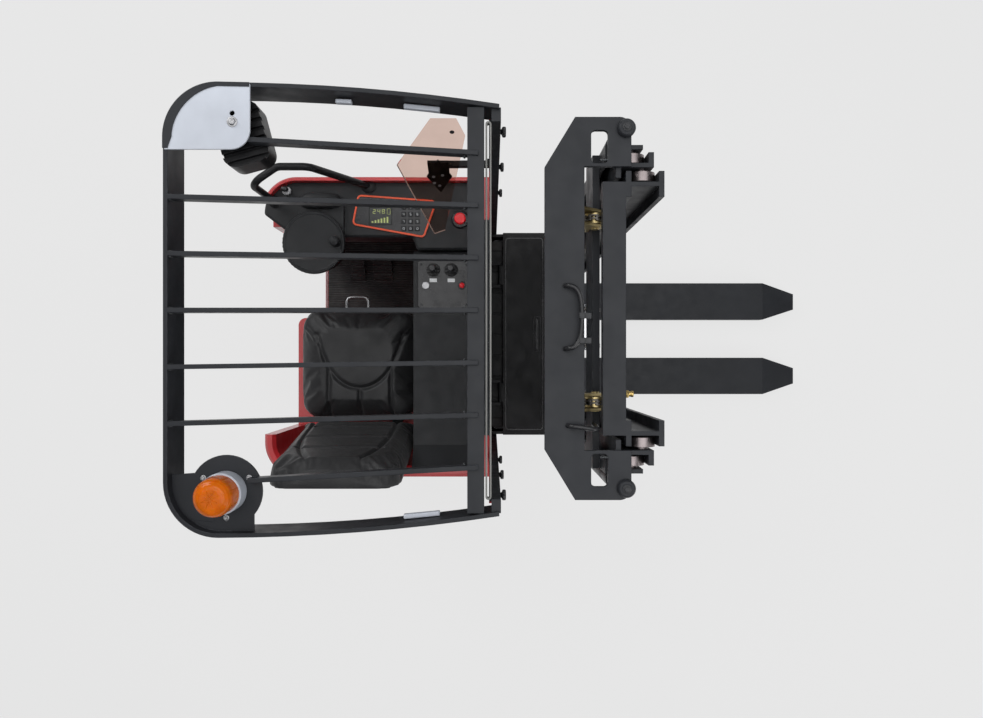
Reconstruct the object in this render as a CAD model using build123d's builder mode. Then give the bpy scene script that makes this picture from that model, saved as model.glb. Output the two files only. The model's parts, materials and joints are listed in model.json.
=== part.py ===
"""Sit-on pallet stacker: cab with overhead guard, battery bay, three-stage mast, forks and support legs.

Millimetres. +X runs from the cab to the fork tips, +Y the way the operator faces, +Z up.
The origin is on the ground, at the middle of the truck's length and width.
"""

from build123d import *
import math
import os

os.makedirs("parts", exist_ok=True)

SIDES = (-1, 1)

# Mast rails and carriage plate, which set the mast bay's length
RAIL_DEPTH = 86
RAIL_FLANGE = 12
RAIL_WEB = 10
RAIL_FLANGE_REACH = 24
RAIL_STEP_X = 22
RAIL_PITCH_Y = 44
CROSS_MEMBER = 17
CROSS_GAP = 6
CARRIAGE_PLATE = 20

# Lengths along X, rear to front
CAB_LENGTH = 800
BATTERY_BAY = 235
MAST_BAY = CROSS_GAP + CROSS_MEMBER + 2 * RAIL_STEP_X + RAIL_DEPTH + CROSS_GAP + CARRIAGE_PLATE
FORK_LENGTH = 1150
TOTAL_LENGTH = CAB_LENGTH + BATTERY_BAY + MAST_BAY + FORK_LENGTH
REAR_X = -TOTAL_LENGTH / 2
CAB_X = REAR_X + CAB_LENGTH
MAST_X = CAB_X + BATTERY_BAY
FACE_X = MAST_X + MAST_BAY
TIP_X = FACE_X + FORK_LENGTH

# Cab: chassis, panels and floor
CAB_WIDTH = 1050
CAB_CORNER_R = 120
CAB_HALF = CAB_WIDTH / 2
SKIRT_Z = 70
SKIRT_WALL = 12
FLOOR_Z = 330
FLOOR_PLATE = 10
WALL = 40
WALL_TOP_Z = 1330
HOOD_DROP = 30
HOOD_TOP_Z = WALL_TOP_Z - HOOD_DROP
COWL_LIP = 14
PANEL_EDGE_R = 12
PANEL_RETURN = 30
PANEL_SPLIT_Y = CAB_HALF - CAB_CORNER_R - PANEL_RETURN
MAT_THICKNESS = 6
MAT_MARGIN = 14
MAT_NOTCH = 80

# Seat box, seat and console inside the cab
CONSOLE_DEPTH = 236
CONSOLE_DROP = 40
CONSOLE_TOP_Z = WALL_TOP_Z - CONSOLE_DROP
CONSOLE_SETBACK = 250
CONSOLE_FRONT_Y = CAB_HALF - CONSOLE_SETBACK
CONSOLE_RISE_LENGTH = 73
CONSOLE_RISE_Y = WALL + CONSOLE_RISE_LENGTH - CAB_HALF
CONSOLE_RISE = 55
CONSOLE_SKIN = 12
CONSOLE_EDGE_R = 30
CONSOLE_X = (CAB_X - WALL - CONSOLE_DEPTH, CAB_X - WALL)
SEAT_BOX_DROP = 450
SEAT_BOX_TOP_Z = WALL_TOP_Z - SEAT_BOX_DROP
SEAT_BOX_SETBACK = 465
SEAT_BOX_FRONT_Y = CAB_HALF - SEAT_BOX_SETBACK
SEAT_BOX_SKIN = 10
SEAT_BOX_REAR_GAP = 12
SEAT_SIDE_GAP = 9
SEAT_SIDE_ROOM = 84
SEAT_WIDTH = CONSOLE_X[0] - REAR_X - SEAT_SIDE_ROOM
SEAT_X = CONSOLE_X[0] - SEAT_SIDE_GAP - SEAT_WIDTH / 2
SEAT_OVERHANG = 36
SEAT_FRONT_Y = SEAT_BOX_FRONT_Y + SEAT_OVERHANG
SEAT_REAR_ROOM = 185
SEAT_REAR_Y = SEAT_REAR_ROOM - CAB_HALF
SEAT_BASE_HEIGHT = 70
SEAT_BASE_INSET = 40
CUSHION_THICKNESS = 100
CUSHION_EDGE_R = 38
CUSHION_CORNER_R = 76
SOFT_GAP = 0.4
BACK_GAP = 9.6
BACK_BOTTOM_Z = SEAT_BOX_TOP_Z + SEAT_BASE_HEIGHT + SOFT_GAP + CUSHION_THICKNESS + BACK_GAP
BACK_HEIGHT = 540
BACK_TOP_Z = BACK_BOTTOM_Z + BACK_HEIGHT
BACK_SETBACK = 3
BACK_FRONT_BOTTOM_Y = SEAT_REAR_Y - BACK_SETBACK
BACK_LEAN = 112
BACK_FRONT_TOP_Y = BACK_FRONT_BOTTOM_Y - BACK_LEAN
BACK_THICKNESS = 70
BACK_EDGE_R = 28
BACK_CORNER_R = 70

# Dash, steering and operator controls
DASH_DROP = 30
DASH_TOP_Z = WALL_TOP_Z - DASH_DROP
DASH_THICKNESS = 110
DASH_FOOT_Z = DASH_TOP_Z - DASH_THICKNESS
DASH_DEPTH = 205
DASH_FRONT_Y = CAB_HALF - DASH_DEPTH
DASH_END_DEPTH = 125
DASH_REAR_Y = CAB_HALF - DASH_END_DEPTH
DASH_EDGE_R = 14
DASH_END_FROM_SIDE = 65
STEER_FROM_REAR = 185
STEER_X = REAR_X + STEER_FROM_REAR
STEER_FROM_SIDE = 232
STEER_Y = CAB_HALF - STEER_FROM_SIDE
STEER_WHEEL_R = 108
STEER_WHEEL_THICKNESS = 24
STEER_RIM_WIDTH = 26
STEER_RIM_ROUND = 8
STEER_DISH = 8
STEER_COLUMN_R = 28
STEER_POD_R = 78
STEER_BOSS_WIDTH = 158
STEER_BOSS_SHIFT = 20
STEER_BOSS_FROM_SIDE = 55
STEER_BOSS_R = 36
STEER_POD_HEIGHT = 22
STEER_POD_TOP_Z = DASH_TOP_Z + STEER_POD_HEIGHT
STEER_GAP = 6
KNOB_R = 17
KNOB_OFFSET = 78
KNOB_HEIGHT = 46
KNOB_ROUND = 12
RUNNING_FIT = 0.05

# Overhead guard
GUARD_TOP_Z = 2200
GUARD_HEIGHT = 95
GUARD_PLATE = 10
GUARD_SETBACK = 43
GUARD_REAR_X = REAR_X + GUARD_SETBACK
GUARD_OVERHANG = 18
GUARD_FRONT_X = CAB_X + GUARD_OVERHANG
GUARD_REAR_HALF = CAB_HALF
GUARD_WAIST = 50
GUARD_FRONT_HALF = GUARD_REAR_HALF - GUARD_WAIST
GUARD_CORNER_R = 127
GUARD_BOW = 12
GUARD_BAR_WIDTH = 11
GUARD_BAR_HEIGHT = 30
GUARD_BARS_EACH_SIDE = 3
GUARD_BAR_REAR_PITCH = GUARD_REAR_HALF / (GUARD_BARS_EACH_SIDE + 1)
GUARD_BAR_TAPER = 0.922
GUARD_WELD_DEPTH = 5
CROSS_BAR_WIDTH = 39
CROSS_BAR_SETBACK = 17
CROSS_BAR = (CAB_X - CROSS_BAR_SETBACK - CROSS_BAR_WIDTH, CAB_X - CROSS_BAR_SETBACK)
CROSS_BAR_HEIGHT = 40
CROSS_BAR_DROP = 6
GUARD_BAR_END = 14
POST_WIDTH = 32
POST_DEPTH = 22
POST_FOOT_Z = 420
CORNER_PLATE = 5
CORNER_PLATE_LENGTH = 202
CORNER_PLATE_LAP = 8
LAMP_PLATE_WIDTH = 156
LAMP_PLATE_Y = GUARD_REAR_HALF - LAMP_PLATE_WIDTH
LAMP_PLATE_MARGIN = 5
LAMP_PLATE_CORNER_R = 45
LAMP_HOLE_FROM_REAR = 161
LAMP_HOLE_X = GUARD_REAR_X + LAMP_HOLE_FROM_REAR
LAMP_HOLE_FROM_SIDE = 73
LAMP_HOLE_Y = GUARD_REAR_HALF - LAMP_HOLE_FROM_SIDE
LAMP_HOLE_R = 6
BEACON_FROM_REAR = 137
BEACON_X = GUARD_REAR_X + BEACON_FROM_REAR
BEACON_FROM_SIDE = 103
BEACON_Y = BEACON_FROM_SIDE - GUARD_REAR_HALF
BEACON_R = 44
BEACON_RING = 4
BEACON_RING_ROUND = 3
BEACON_DOME_ROUND = 22
BEACON_HEIGHT = 78
BEACON_BASE_HEIGHT = 16
BEACON_BOSS_R = 85
BEACON_PLATE_LAP = 40
SCREEN_THICKNESS = 6
SCREEN_CORNER_R = 30
SCREEN_GAP = 15
SCREEN_BOTTOM_Z = WALL_TOP_Z + SCREEN_GAP

# Battery bay
DECK_Z = 750
DECK_POST_GAP = 8
DECK_HALF = GUARD_FRONT_HALF - GUARD_PLATE / 2 - POST_WIDTH - DECK_POST_GAP
DECK_PLATE = 8
DECK_LIP = 26
LID_HINGE_R = 7
LID_HINGE_SETBACK = 14
LID_HINGE_X = CAB_X + POST_DEPTH + LID_HINGE_SETBACK
LID_GAP = 6
TRAY_PLATE = 12
TRAY_Z = 84
BATTERY_GAP = 8
BATTERY_TOP_GAP = 40
BATTERY_EDGE_R = 10

# Mast: three nested stages, each rail an I or C section
MAST_INSET = 157
OUTER_WEB_Y = CAB_HALF - MAST_INSET
OUTER_X = MAST_X + CROSS_GAP + CROSS_MEMBER
MIDDLE_X = OUTER_X + RAIL_STEP_X
INNER_X = MIDDLE_X + RAIL_STEP_X
MIDDLE_WEB_Y = OUTER_WEB_Y - RAIL_PITCH_Y
INNER_WEB_Y = MIDDLE_WEB_Y - RAIL_PITCH_Y
RAIL_CHANNEL = RAIL_DEPTH - 2 * RAIL_FLANGE
LEG_TOP_Z = 80
OUTER_FOOT_Z = LEG_TOP_Z
STAGE_FOOT_Z = 100
OUTER_TOP_Z = 2225
MIDDLE_RISE = 13
MIDDLE_TOP_Z = OUTER_TOP_Z + MIDDLE_RISE
INNER_RISE = 7
INNER_TOP_Z = MIDDLE_TOP_Z + INNER_RISE
MIDDLE_FOOT_BAR = 110
INNER_FOOT_BAR = 130
INNER_HEAD_BAR = 27
INNER_HEAD_DEPTH = 52
ROLLER_CLEARANCE = 0.5
ROLLER_R = RAIL_CHANNEL / 2 - ROLLER_CLEARANCE
ROLLER_WIDTH = 22
ROLLER_BOSS = 6
ROLLER_BOSS_R = 15
ROLLER_END = 38
ROLLER_NOTCH = 76
YOKE_PLATE = 12
YOKE_OVERHANG = 60.5
YOKE_HALF = OUTER_WEB_Y + YOKE_OVERHANG
YOKE_REACH = 116
YOKE_REAR_X = MAST_X - YOKE_REACH
YOKE_BAR_WIDTH = 59
YOKE_BRACKET = 30
YOKE_EAR_REACH = 78
YOKE_FRONT_X = MAST_X + YOKE_EAR_REACH
YOKE_EAR_LAP = 6
YOKE_EAR_INNER_Y = MIDDLE_WEB_Y - YOKE_EAR_LAP
YOKE_CHAMFER_X = 68
YOKE_CHAMFER_Y = 112
YOKE_POCKET_FROM_REAR = 123
YOKE_POCKET_X = YOKE_REAR_X + YOKE_POCKET_FROM_REAR
YOKE_POCKET_LAP = 6
YOKE_POCKET_Y = OUTER_WEB_Y - YOKE_POCKET_LAP
YOKE_POCKET = (38, 74)
YOKE_POCKET_R = 10
YOKE_EAR_R = 26

# Lift cylinders, sheaves and chains
CYLINDER_X = OUTER_X + RAIL_DEPTH / 2
CYLINDER_R = 26
CYLINDER_GAP = 3
CYLINDER_Y = OUTER_WEB_Y + RAIL_WEB / 2 + CYLINDER_R + CYLINDER_GAP
CYLINDER_DROP = 105
CYLINDER_TOP_Z = OUTER_TOP_Z - CYLINDER_DROP
CYLINDER_FLOOR = 20
ROD_R = 15
ROD_CLEARANCE = 0.5
ROD_FOOT_Z = 130
ROD_NUT_R = 17
ROD_NUT_HEIGHT = 14
FREE_CYLINDER_R = 27
FREE_CYLINDER_SETBACK = 38
FREE_CYLINDER_X = INNER_X + FREE_CYLINDER_SETBACK
FREE_CYLINDER_SHARE = 0.548
FREE_CYLINDER_TOP_Z = FREE_CYLINDER_SHARE * INNER_TOP_Z
FREE_CYLINDER_FLOOR = 30
FREE_FOOT_PLATE = 30
FREE_FOOT_MARGIN = 20
FREE_ROD_R = 16
SHEAVE_RISE = 100
SHEAVE_Z = FREE_CYLINDER_TOP_Z + SHEAVE_RISE
SHEAVE_R = 28
SHEAVE_Y = 62
SHEAVE_WIDTH = 24
SHEAVE_AXLE_R = 11
SHEAVE_CHEEK = 4
SHEAVE_CHEEK_RIM = 8
HEAD_BLOCK_DEPTH = 40
HEAD_BLOCK_DROP = 30
HEAD_BLOCK_RISE = 20
HEAD_BLOCK_Z = (SHEAVE_Z - HEAD_BLOCK_DROP, SHEAVE_Z + HEAD_BLOCK_RISE)
CHAIN_WIDTH = 14
CHAIN_THICKNESS = 10
CHAIN_SEAT = 0.3
CHAIN_LUG = 40
LIFT_SHEAVE_INSET = 68
LIFT_SHEAVE_Y = INNER_WEB_Y - LIFT_SHEAVE_INSET
LIFT_SHEAVE_SETBACK = 7
LIFT_SHEAVE_X = MAST_X + LIFT_SHEAVE_SETBACK
LIFT_SHEAVE_R = 25
LIFT_SHEAVE_DROP = 60
LIFT_SHEAVE_Z = MIDDLE_TOP_Z - LIFT_SHEAVE_DROP
LIFT_AXLE_R = 9
LIFT_CHEEK = 6
LIFT_CHEEK_GAP = 2
LIFT_CHEEK_REACH = 14
LIFT_ANCHOR_LIP = 2
CARRIAGE_CHAIN_FOOT_Z = 460
FREE_CHAIN_FOOT_Z = 700
LIFT_CHAIN_DROP = 88
LIFT_CHAIN_REAR_Z = LIFT_SHEAVE_Z - LIFT_CHAIN_DROP
LIFT_CHAIN_FRONT_Z = 270

# Carriage and forks
CARRIAGE_SIDE = 18
CARRIAGE_ROLLER_GAP = 4
CARRIAGE_SIDE_Y = INNER_WEB_Y - RAIL_WEB / 2 - CARRIAGE_ROLLER_GAP - ROLLER_BOSS - ROLLER_WIDTH
CARRIAGE_REAR_GAP = 8
CARRIAGE_OVERHANG = 42
CARRIAGE_FOOT_Z = 112
CARRIAGE_TOP_Z = 560
CARRIAGE_PLATE_DROP = 60
CARRIAGE_PLATE_TOP_Z = CARRIAGE_TOP_Z - CARRIAGE_PLATE_DROP
CARRIAGE_WINDOW_SILL = 140
CARRIAGE_WINDOW_HEAD = 120
FORK_OUTER_Y = 285
FORK_WIDTH = 187
FORK_TOP_Z = 95
FORK_PLATE = 8
FORK_SIDE_FOOT_Z = 40
FORK_TAPER = 170
FORK_TIP_WIDTH = 80
FORK_TIP_HEIGHT = 22
FORK_Y = FORK_OUTER_Y - FORK_WIDTH / 2
CARRIAGE_X = FACE_X - CARRIAGE_PLATE

# Support legs and wheels
LEG_WIDTH = 150
LEG_FOOT_Z = 22
LEG_END_GAP = 5
LEG_NOSE = 20
LOAD_WHEEL_R = 40
LOAD_WHEEL_WIDTH = 96
LOAD_WHEEL_SPACING = 96
LOAD_WHEEL_SIDE_GAP = 5
LOAD_AXLE_R = 10
WHEEL_SLOT_GAP = 7
DRIVE_FROM_REAR = 330
DRIVE_X = REAR_X + DRIVE_FROM_REAR
DRIVE_FROM_SIDE = 295
DRIVE_Y = DRIVE_FROM_SIDE - CAB_HALF
DRIVE_WHEEL_R = 115
DRIVE_WHEEL_WIDTH = 80
DRIVE_AXLE_R = 22
DRIVE_WHEEL_EDGE_R = 6
DRIVE_GEAR_WIDTH = 52
DRIVE_GEAR_HALF = 60
DRIVE_GEAR_ROUND = 40
DRIVE_GEAR_GAP = 8
DRIVE_RING_R = 120
DRIVE_RING_HEIGHT = 30
DRIVE_RING_LAP = 20
DRIVE_RING_GAP = 0.4
DRIVE_MOTOR_R = 82
DRIVE_MOTOR_TOP_Z = 600
CASTOR_X = DRIVE_X
CASTOR_FROM_SIDE = 225
CASTOR_Y = CAB_HALF - CASTOR_FROM_SIDE
CASTOR_TRAIL = 45
CASTOR_WHEEL_R = 75
CASTOR_WHEEL_WIDTH = 45
CASTOR_SPREAD = 26
CASTOR_CHEEK_GAP = 5
CASTOR_CHEEK_FOOT = 20
CASTOR_CHEEK_SHARE = 0.8
CASTOR_AXLE_R = 11
CASTOR_PLATE_Z = 190
CASTOR_PLATE = 14
CASTOR_PIN_R = 16
CASTOR_PIN_GAP = 10
CASTOR_HOUSING_R = 48


def side_span(side, near, far):
    """Y limits of a span that lies between two distances from the centre line, on one side."""
    return tuple(sorted((side * near, side * far)))


def block(x_span, y_span, z_span, mode=Mode.ADD):
    """A square-edged block between pairs of X, Y and Z limits."""
    spans = (x_span, y_span, z_span)
    sizes = [high - low for low, high in spans]
    middle = tuple((low + high) / 2 for low, high in spans)
    with Locations(middle):
        Box(*sizes, mode=mode)


def turned(centre, axis, length, radius, mode=Mode.ADD):
    """A cylinder about a point, along the X, Y or Z axis."""
    turn = {"X": (0, 90, 0), "Y": (90, 0, 0), "Z": (0, 0, 0)}[axis]
    with Locations(Location(centre, turn)):
        Cylinder(radius, length, mode=mode)


def cab_outline(inset):
    """Plan of the cab, drawn in by an inset, with its two rear corners rounded."""
    with BuildSketch() as plan:
        with BuildLine():
            FilletPolyline(
                (CAB_X - inset, -CAB_HALF + inset),
                (REAR_X + inset, -CAB_HALF + inset),
                (REAR_X + inset, CAB_HALF - inset),
                (CAB_X - inset, CAB_HALF - inset),
                radius=CAB_CORNER_R - inset,
            )
            Line((CAB_X - inset, CAB_HALF - inset), (CAB_X - inset, -CAB_HALF + inset))
        make_face()
    return plan.sketch


def dash_room():
    """Plan of the room inside the cowl's lip, up to the bulkhead and out to the cab's rear face."""
    rear_end_half = CAB_HALF - DASH_END_FROM_SIDE
    with BuildSketch() as plan:
        add(cab_outline(COWL_LIP))
        with BuildSketch(mode=Mode.PRIVATE) as rear_end:
            add(cab_outline(0))
            with Locations((REAR_X + CAB_CORNER_R / 2, rear_end_half / 2)):
                Rectangle(CAB_CORNER_R, rear_end_half, mode=Mode.INTERSECT)
        add(rear_end.sketch)
        with Locations((CAB_X - WALL / 2, 0)):
            Rectangle(WALL, CAB_WIDTH, mode=Mode.SUBTRACT)
    return plan.sketch


def wall_ring():
    """Plan of the upright cab wall all the way round, to be cut into its panels."""
    with BuildSketch() as ring:
        add(cab_outline(0))
        add(cab_outline(WALL), mode=Mode.SUBTRACT)
    return ring.sketch


# Chassis: a skirt open at the bottom under a floor plate, with the castor's housing and the drive's seat
with BuildPart() as chassis_base:
    with BuildSketch(Plane.XY.offset(SKIRT_Z)):
        add(cab_outline(0))
    extrude(amount=FLOOR_Z - SKIRT_Z)
    with BuildSketch(Plane.XY.offset(SKIRT_Z)):
        add(cab_outline(SKIRT_WALL))
    extrude(amount=FLOOR_Z - FLOOR_PLATE - SKIRT_Z, mode=Mode.SUBTRACT)
    drive_hole_r = DRIVE_RING_R - DRIVE_RING_LAP
    turned((DRIVE_X, DRIVE_Y, FLOOR_Z - FLOOR_PLATE / 2), "Z", FLOOR_PLATE, drive_hole_r, Mode.SUBTRACT)
    castor_top_z = CASTOR_PLATE_Z + CASTOR_PLATE + DRIVE_RING_GAP
    castor_height = FLOOR_Z - FLOOR_PLATE - castor_top_z
    castor_middle = (CASTOR_X, CASTOR_Y, castor_top_z + castor_height / 2)
    turned(castor_middle, "Z", castor_height, CASTOR_HOUSING_R)
    turned(castor_middle, "Z", castor_height, CASTOR_PIN_R + RUNNING_FIT, Mode.SUBTRACT)

# Cab wall panels: cowl ahead of the operator, hood behind the seat, bulkhead towards the mast
panel_height = WALL_TOP_Z - FLOOR_Z
panel_z = (FLOOR_Z, WALL_TOP_Z)
cab_x = (REAR_X, CAB_X)
with BuildPart() as cowl_panel:
    with BuildSketch(Plane.XY.offset(FLOOR_Z)):
        add(wall_ring())
    extrude(amount=panel_height)
    block(cab_x, (PANEL_SPLIT_Y, CAB_HALF), panel_z, Mode.INTERSECT)
    with BuildSketch(Plane.XY.offset(DASH_FOOT_Z)):
        add(dash_room())
    extrude(amount=WALL_TOP_Z - DASH_FOOT_Z, mode=Mode.SUBTRACT)
    cowl_rim = cowl_panel.faces().sort_by(Axis.Z)[-1].edges().sort_by(Axis.Y)[-1]
    chamfer(cowl_rim, COWL_LIP / 2)

with BuildPart() as hood_panel:
    with BuildSketch(Plane.XY.offset(FLOOR_Z)):
        add(wall_ring())
    extrude(amount=HOOD_TOP_Z - FLOOR_Z)
    block(cab_x, (-CAB_HALF, -PANEL_SPLIT_Y), (FLOOR_Z, HOOD_TOP_Z), Mode.INTERSECT)
    hood_rim = hood_panel.faces().sort_by(Axis.Z)[-1].edges()
    chamfer(hood_rim.filter_by(lambda edge: edge.length > 2 * WALL), PANEL_EDGE_R)

with BuildPart() as bulkhead_panel:
    block((CAB_X - WALL, CAB_X), (-PANEL_SPLIT_Y, PANEL_SPLIT_Y), panel_z)
    fillet(bulkhead_panel.faces().sort_by(Axis.Z)[-1].edges().filter_by(Axis.Y), PANEL_EDGE_R)

# Seat box: a red cover, open at the bottom over the drive unit
seat_box_x = (REAR_X + SEAT_BOX_REAR_GAP, CONSOLE_X[0])


def seat_box_plan(inset):
    """Plan of the seat box, drawn in by an inset: it fills the hood's return and ends flush beside it."""
    with BuildSketch() as plan:
        add(cab_outline(WALL))
        with BuildSketch(mode=Mode.PRIVATE) as rear_part:
            with Locations((sum(seat_box_x) / 2, (SEAT_BOX_FRONT_Y - CAB_HALF) / 2)):
                Rectangle(seat_box_x[1] - seat_box_x[0], SEAT_BOX_FRONT_Y + CAB_HALF)
        add(rear_part.sketch, mode=Mode.INTERSECT)
        with Locations((sum(seat_box_x) / 2, (SEAT_BOX_FRONT_Y - PANEL_SPLIT_Y) / 2)):
            Rectangle(seat_box_x[1] - seat_box_x[0], SEAT_BOX_FRONT_Y + PANEL_SPLIT_Y)
        if inset:
            offset(amount=-inset, kind=Kind.INTERSECTION, mode=Mode.REPLACE)
    return plan.sketch


with BuildPart() as seat_box:
    with BuildSketch(Plane.XY.offset(FLOOR_Z)):
        add(seat_box_plan(0))
    extrude(amount=SEAT_BOX_TOP_Z - FLOOR_Z)
    fillet(seat_box.edges().filter_by(Axis.Z).sort_by(Axis.Y)[-2:], CONSOLE_EDGE_R)
    with BuildSketch(Plane.XY.offset(FLOOR_Z)):
        add(seat_box_plan(SEAT_BOX_SKIN))
    extrude(amount=SEAT_BOX_TOP_Z - SEAT_BOX_SKIN - FLOOR_Z, mode=Mode.SUBTRACT)

# Floor mat between the seat box and the cowl
with BuildPart() as floor_mat:
    with BuildSketch(Plane.XY.offset(FLOOR_Z)):
        with BuildLine():
            FilletPolyline(
                (REAR_X + MAT_MARGIN, SEAT_BOX_FRONT_Y + MAT_MARGIN),
                (CONSOLE_X[0] - MAT_MARGIN, SEAT_BOX_FRONT_Y + MAT_MARGIN),
                (CONSOLE_X[0] - MAT_MARGIN, CAB_HALF - WALL - MAT_MARGIN),
                (REAR_X + MAT_NOTCH, CAB_HALF - WALL - MAT_MARGIN),
                (REAR_X + MAT_NOTCH, PANEL_SPLIT_Y - MAT_MARGIN),
                (REAR_X + MAT_MARGIN, PANEL_SPLIT_Y - MAT_MARGIN),
                radius=MAT_MARGIN,
                close=True,
            )
        make_face()
    extrude(amount=MAT_THICKNESS)

# Pedals on the floor under the dash
PEDALS = (
    # offset from the cab's rear, width
    (160, 70),
    (280, 90),
)
PEDAL_LENGTH = 130
PEDAL_THICKNESS = 12
PEDAL_FROM_SIDE = 265
PEDAL_HEEL_Y = CAB_HALF - PEDAL_FROM_SIDE
PEDAL_ANGLE = 28
with BuildPart() as pedals:
    heel_z = FLOOR_Z + MAT_THICKNESS
    for pedal_offset, pedal_width in PEDALS:
        with BuildSketch(Plane.YZ.offset(REAR_X + pedal_offset)):
            with BuildLine():
                rise = PEDAL_LENGTH * math.tan(math.radians(PEDAL_ANGLE))
                Polyline(
                    (PEDAL_HEEL_Y, heel_z),
                    (PEDAL_HEEL_Y + PEDAL_LENGTH, heel_z + rise),
                    (PEDAL_HEEL_Y + PEDAL_LENGTH, heel_z + rise - PEDAL_THICKNESS),
                    (PEDAL_HEEL_Y + PEDAL_LENGTH / 2, heel_z),
                    close=True,
                )
            make_face()
        extrude(amount=pedal_width / 2, both=True)

# Console beside the seat: a hollow housing with a rising end behind the operator
with BuildPart() as console:
    with BuildSketch(Plane.YZ.offset(CONSOLE_X[0])):
        with BuildLine():
            Polyline(
                (CONSOLE_FRONT_Y, FLOOR_Z),
                (CONSOLE_FRONT_Y, CONSOLE_TOP_Z),
                (CONSOLE_RISE_Y, CONSOLE_TOP_Z),
                (-CAB_HALF + WALL, CONSOLE_TOP_Z + CONSOLE_RISE),
                (-CAB_HALF + WALL, FLOOR_Z),
                close=True,
            )
        make_face()
    extrude(amount=CONSOLE_DEPTH)
    front_edge = console.edges().filter_by(Axis.X).group_by(Axis.Z)[1].sort_by(Axis.Y)[-1]
    fillet(front_edge, CONSOLE_EDGE_R)
    offset(amount=-CONSOLE_SKIN, openings=console.faces().sort_by(Axis.Z)[0])

# Levers, button and lamp on the console's front end
LEVERS = (
    # X offset from the cab front
    -205,
    -142,
)
LEVER_SETBACK = 70
LEVER_Y = CONSOLE_FRONT_Y - LEVER_SETBACK
LEVER_BOOT_R = 19
LEVER_NECK_R = 8.5
LEVER_GRIP_R = 11.5
LEVER_HEIGHT = 62
LEVER_NECK_HEIGHT = 28
LEVER_GRIP_FOOT = 34
LEVER_ROUND = 4
BUTTON_SETBACK = 125
BUTTON_Y = CONSOLE_FRONT_Y - BUTTON_SETBACK
CONSOLE_BUTTONS = (
    # X offset from the cab front, radius
    (-232, 14),
    (-104, 12),
)
BUTTON_HEIGHT = 7
BUTTON_CHAMFER = 2
KEY_SWITCH_FROM_REAR = 82
KEY_SWITCH_FROM_SIDE = 45
KEY_SWITCH = (REAR_X + KEY_SWITCH_FROM_REAR, CAB_HALF - KEY_SWITCH_FROM_SIDE)
KEY_SWITCH_R = 15
KEY_SWITCH_HEIGHT = 10
with BuildPart() as control_levers:
    for lever_offset in LEVERS:
        lever_foot = (CAB_X + lever_offset, LEVER_Y, CONSOLE_TOP_Z)
        with BuildSketch(Plane(lever_foot, x_dir=(1, 0, 0), z_dir=(0, -1, 0))):
            with BuildLine():
                Polyline(
                    (0, 0),
                    (LEVER_BOOT_R, 0),
                    (LEVER_NECK_R, LEVER_NECK_HEIGHT),
                    (LEVER_GRIP_R, LEVER_GRIP_FOOT),
                    (LEVER_GRIP_R, LEVER_HEIGHT),
                    (0, LEVER_HEIGHT),
                    close=True,
                )
            make_face()
        revolve(axis=Axis(lever_foot, (0, 0, 1)))
    fillet(control_levers.faces().group_by(Axis.Z)[-1].edges(), LEVER_ROUND)

with BuildPart() as console_buttons:
    for button_offset, button_r in CONSOLE_BUTTONS:
        button_at = (CAB_X + button_offset, BUTTON_Y, CONSOLE_TOP_Z + BUTTON_HEIGHT / 2)
        turned(button_at, "Z", BUTTON_HEIGHT, button_r)
    chamfer(console_buttons.faces().group_by(Axis.Z)[-1].edges(), BUTTON_CHAMFER)
    turned((*KEY_SWITCH, DASH_TOP_Z + KEY_SWITCH_HEIGHT / 2), "Z", KEY_SWITCH_HEIGHT, KEY_SWITCH_R)

# Dash: a rounded slab across the cab's front with a pod under the steering wheel
with BuildPart() as dash:
    with BuildSketch(Plane.XY.offset(DASH_FOOT_Z)):
        with BuildLine():
            FilletPolyline(
                (CAB_X - WALL, CAB_HALF),
                (REAR_X, CAB_HALF),
                (REAR_X, DASH_REAR_Y),
                (STEER_X - STEER_POD_R, DASH_FRONT_Y),
                (CONSOLE_X[0], DASH_FRONT_Y),
                (CONSOLE_X[0] + DASH_EDGE_R, CONSOLE_FRONT_Y),
                (CAB_X - WALL, CONSOLE_FRONT_Y),
                radius=DASH_EDGE_R,
                close=True,
            )
        make_face()
        with Locations((STEER_X, STEER_Y)):
            Circle(STEER_POD_R)
        add(dash_room(), mode=Mode.INTERSECT)
    extrude(amount=DASH_THICKNESS)
    dash_rim = dash.faces().sort_by(Axis.Z)[-1].edges()
    chamfer(dash_rim.filter_by(lambda edge: edge.center().Y < DASH_REAR_Y), DASH_EDGE_R / 2)
    boss_front_y = CAB_HALF - STEER_BOSS_FROM_SIDE
    with BuildSketch(Plane.XY.offset(DASH_TOP_Z)):
        with Locations((STEER_X, STEER_Y)):
            Circle(STEER_POD_R - DASH_EDGE_R)
        with Locations((STEER_X + STEER_BOSS_SHIFT, (STEER_Y + boss_front_y) / 2)):
            RectangleRounded(STEER_BOSS_WIDTH, boss_front_y - STEER_Y, STEER_BOSS_R)
    extrude(amount=STEER_POD_HEIGHT)
    column_bore = STEER_COLUMN_R + RUNNING_FIT
    turned((STEER_X, STEER_Y, DASH_TOP_Z), "Z", 2 * DASH_THICKNESS, column_bore, Mode.SUBTRACT)

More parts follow.
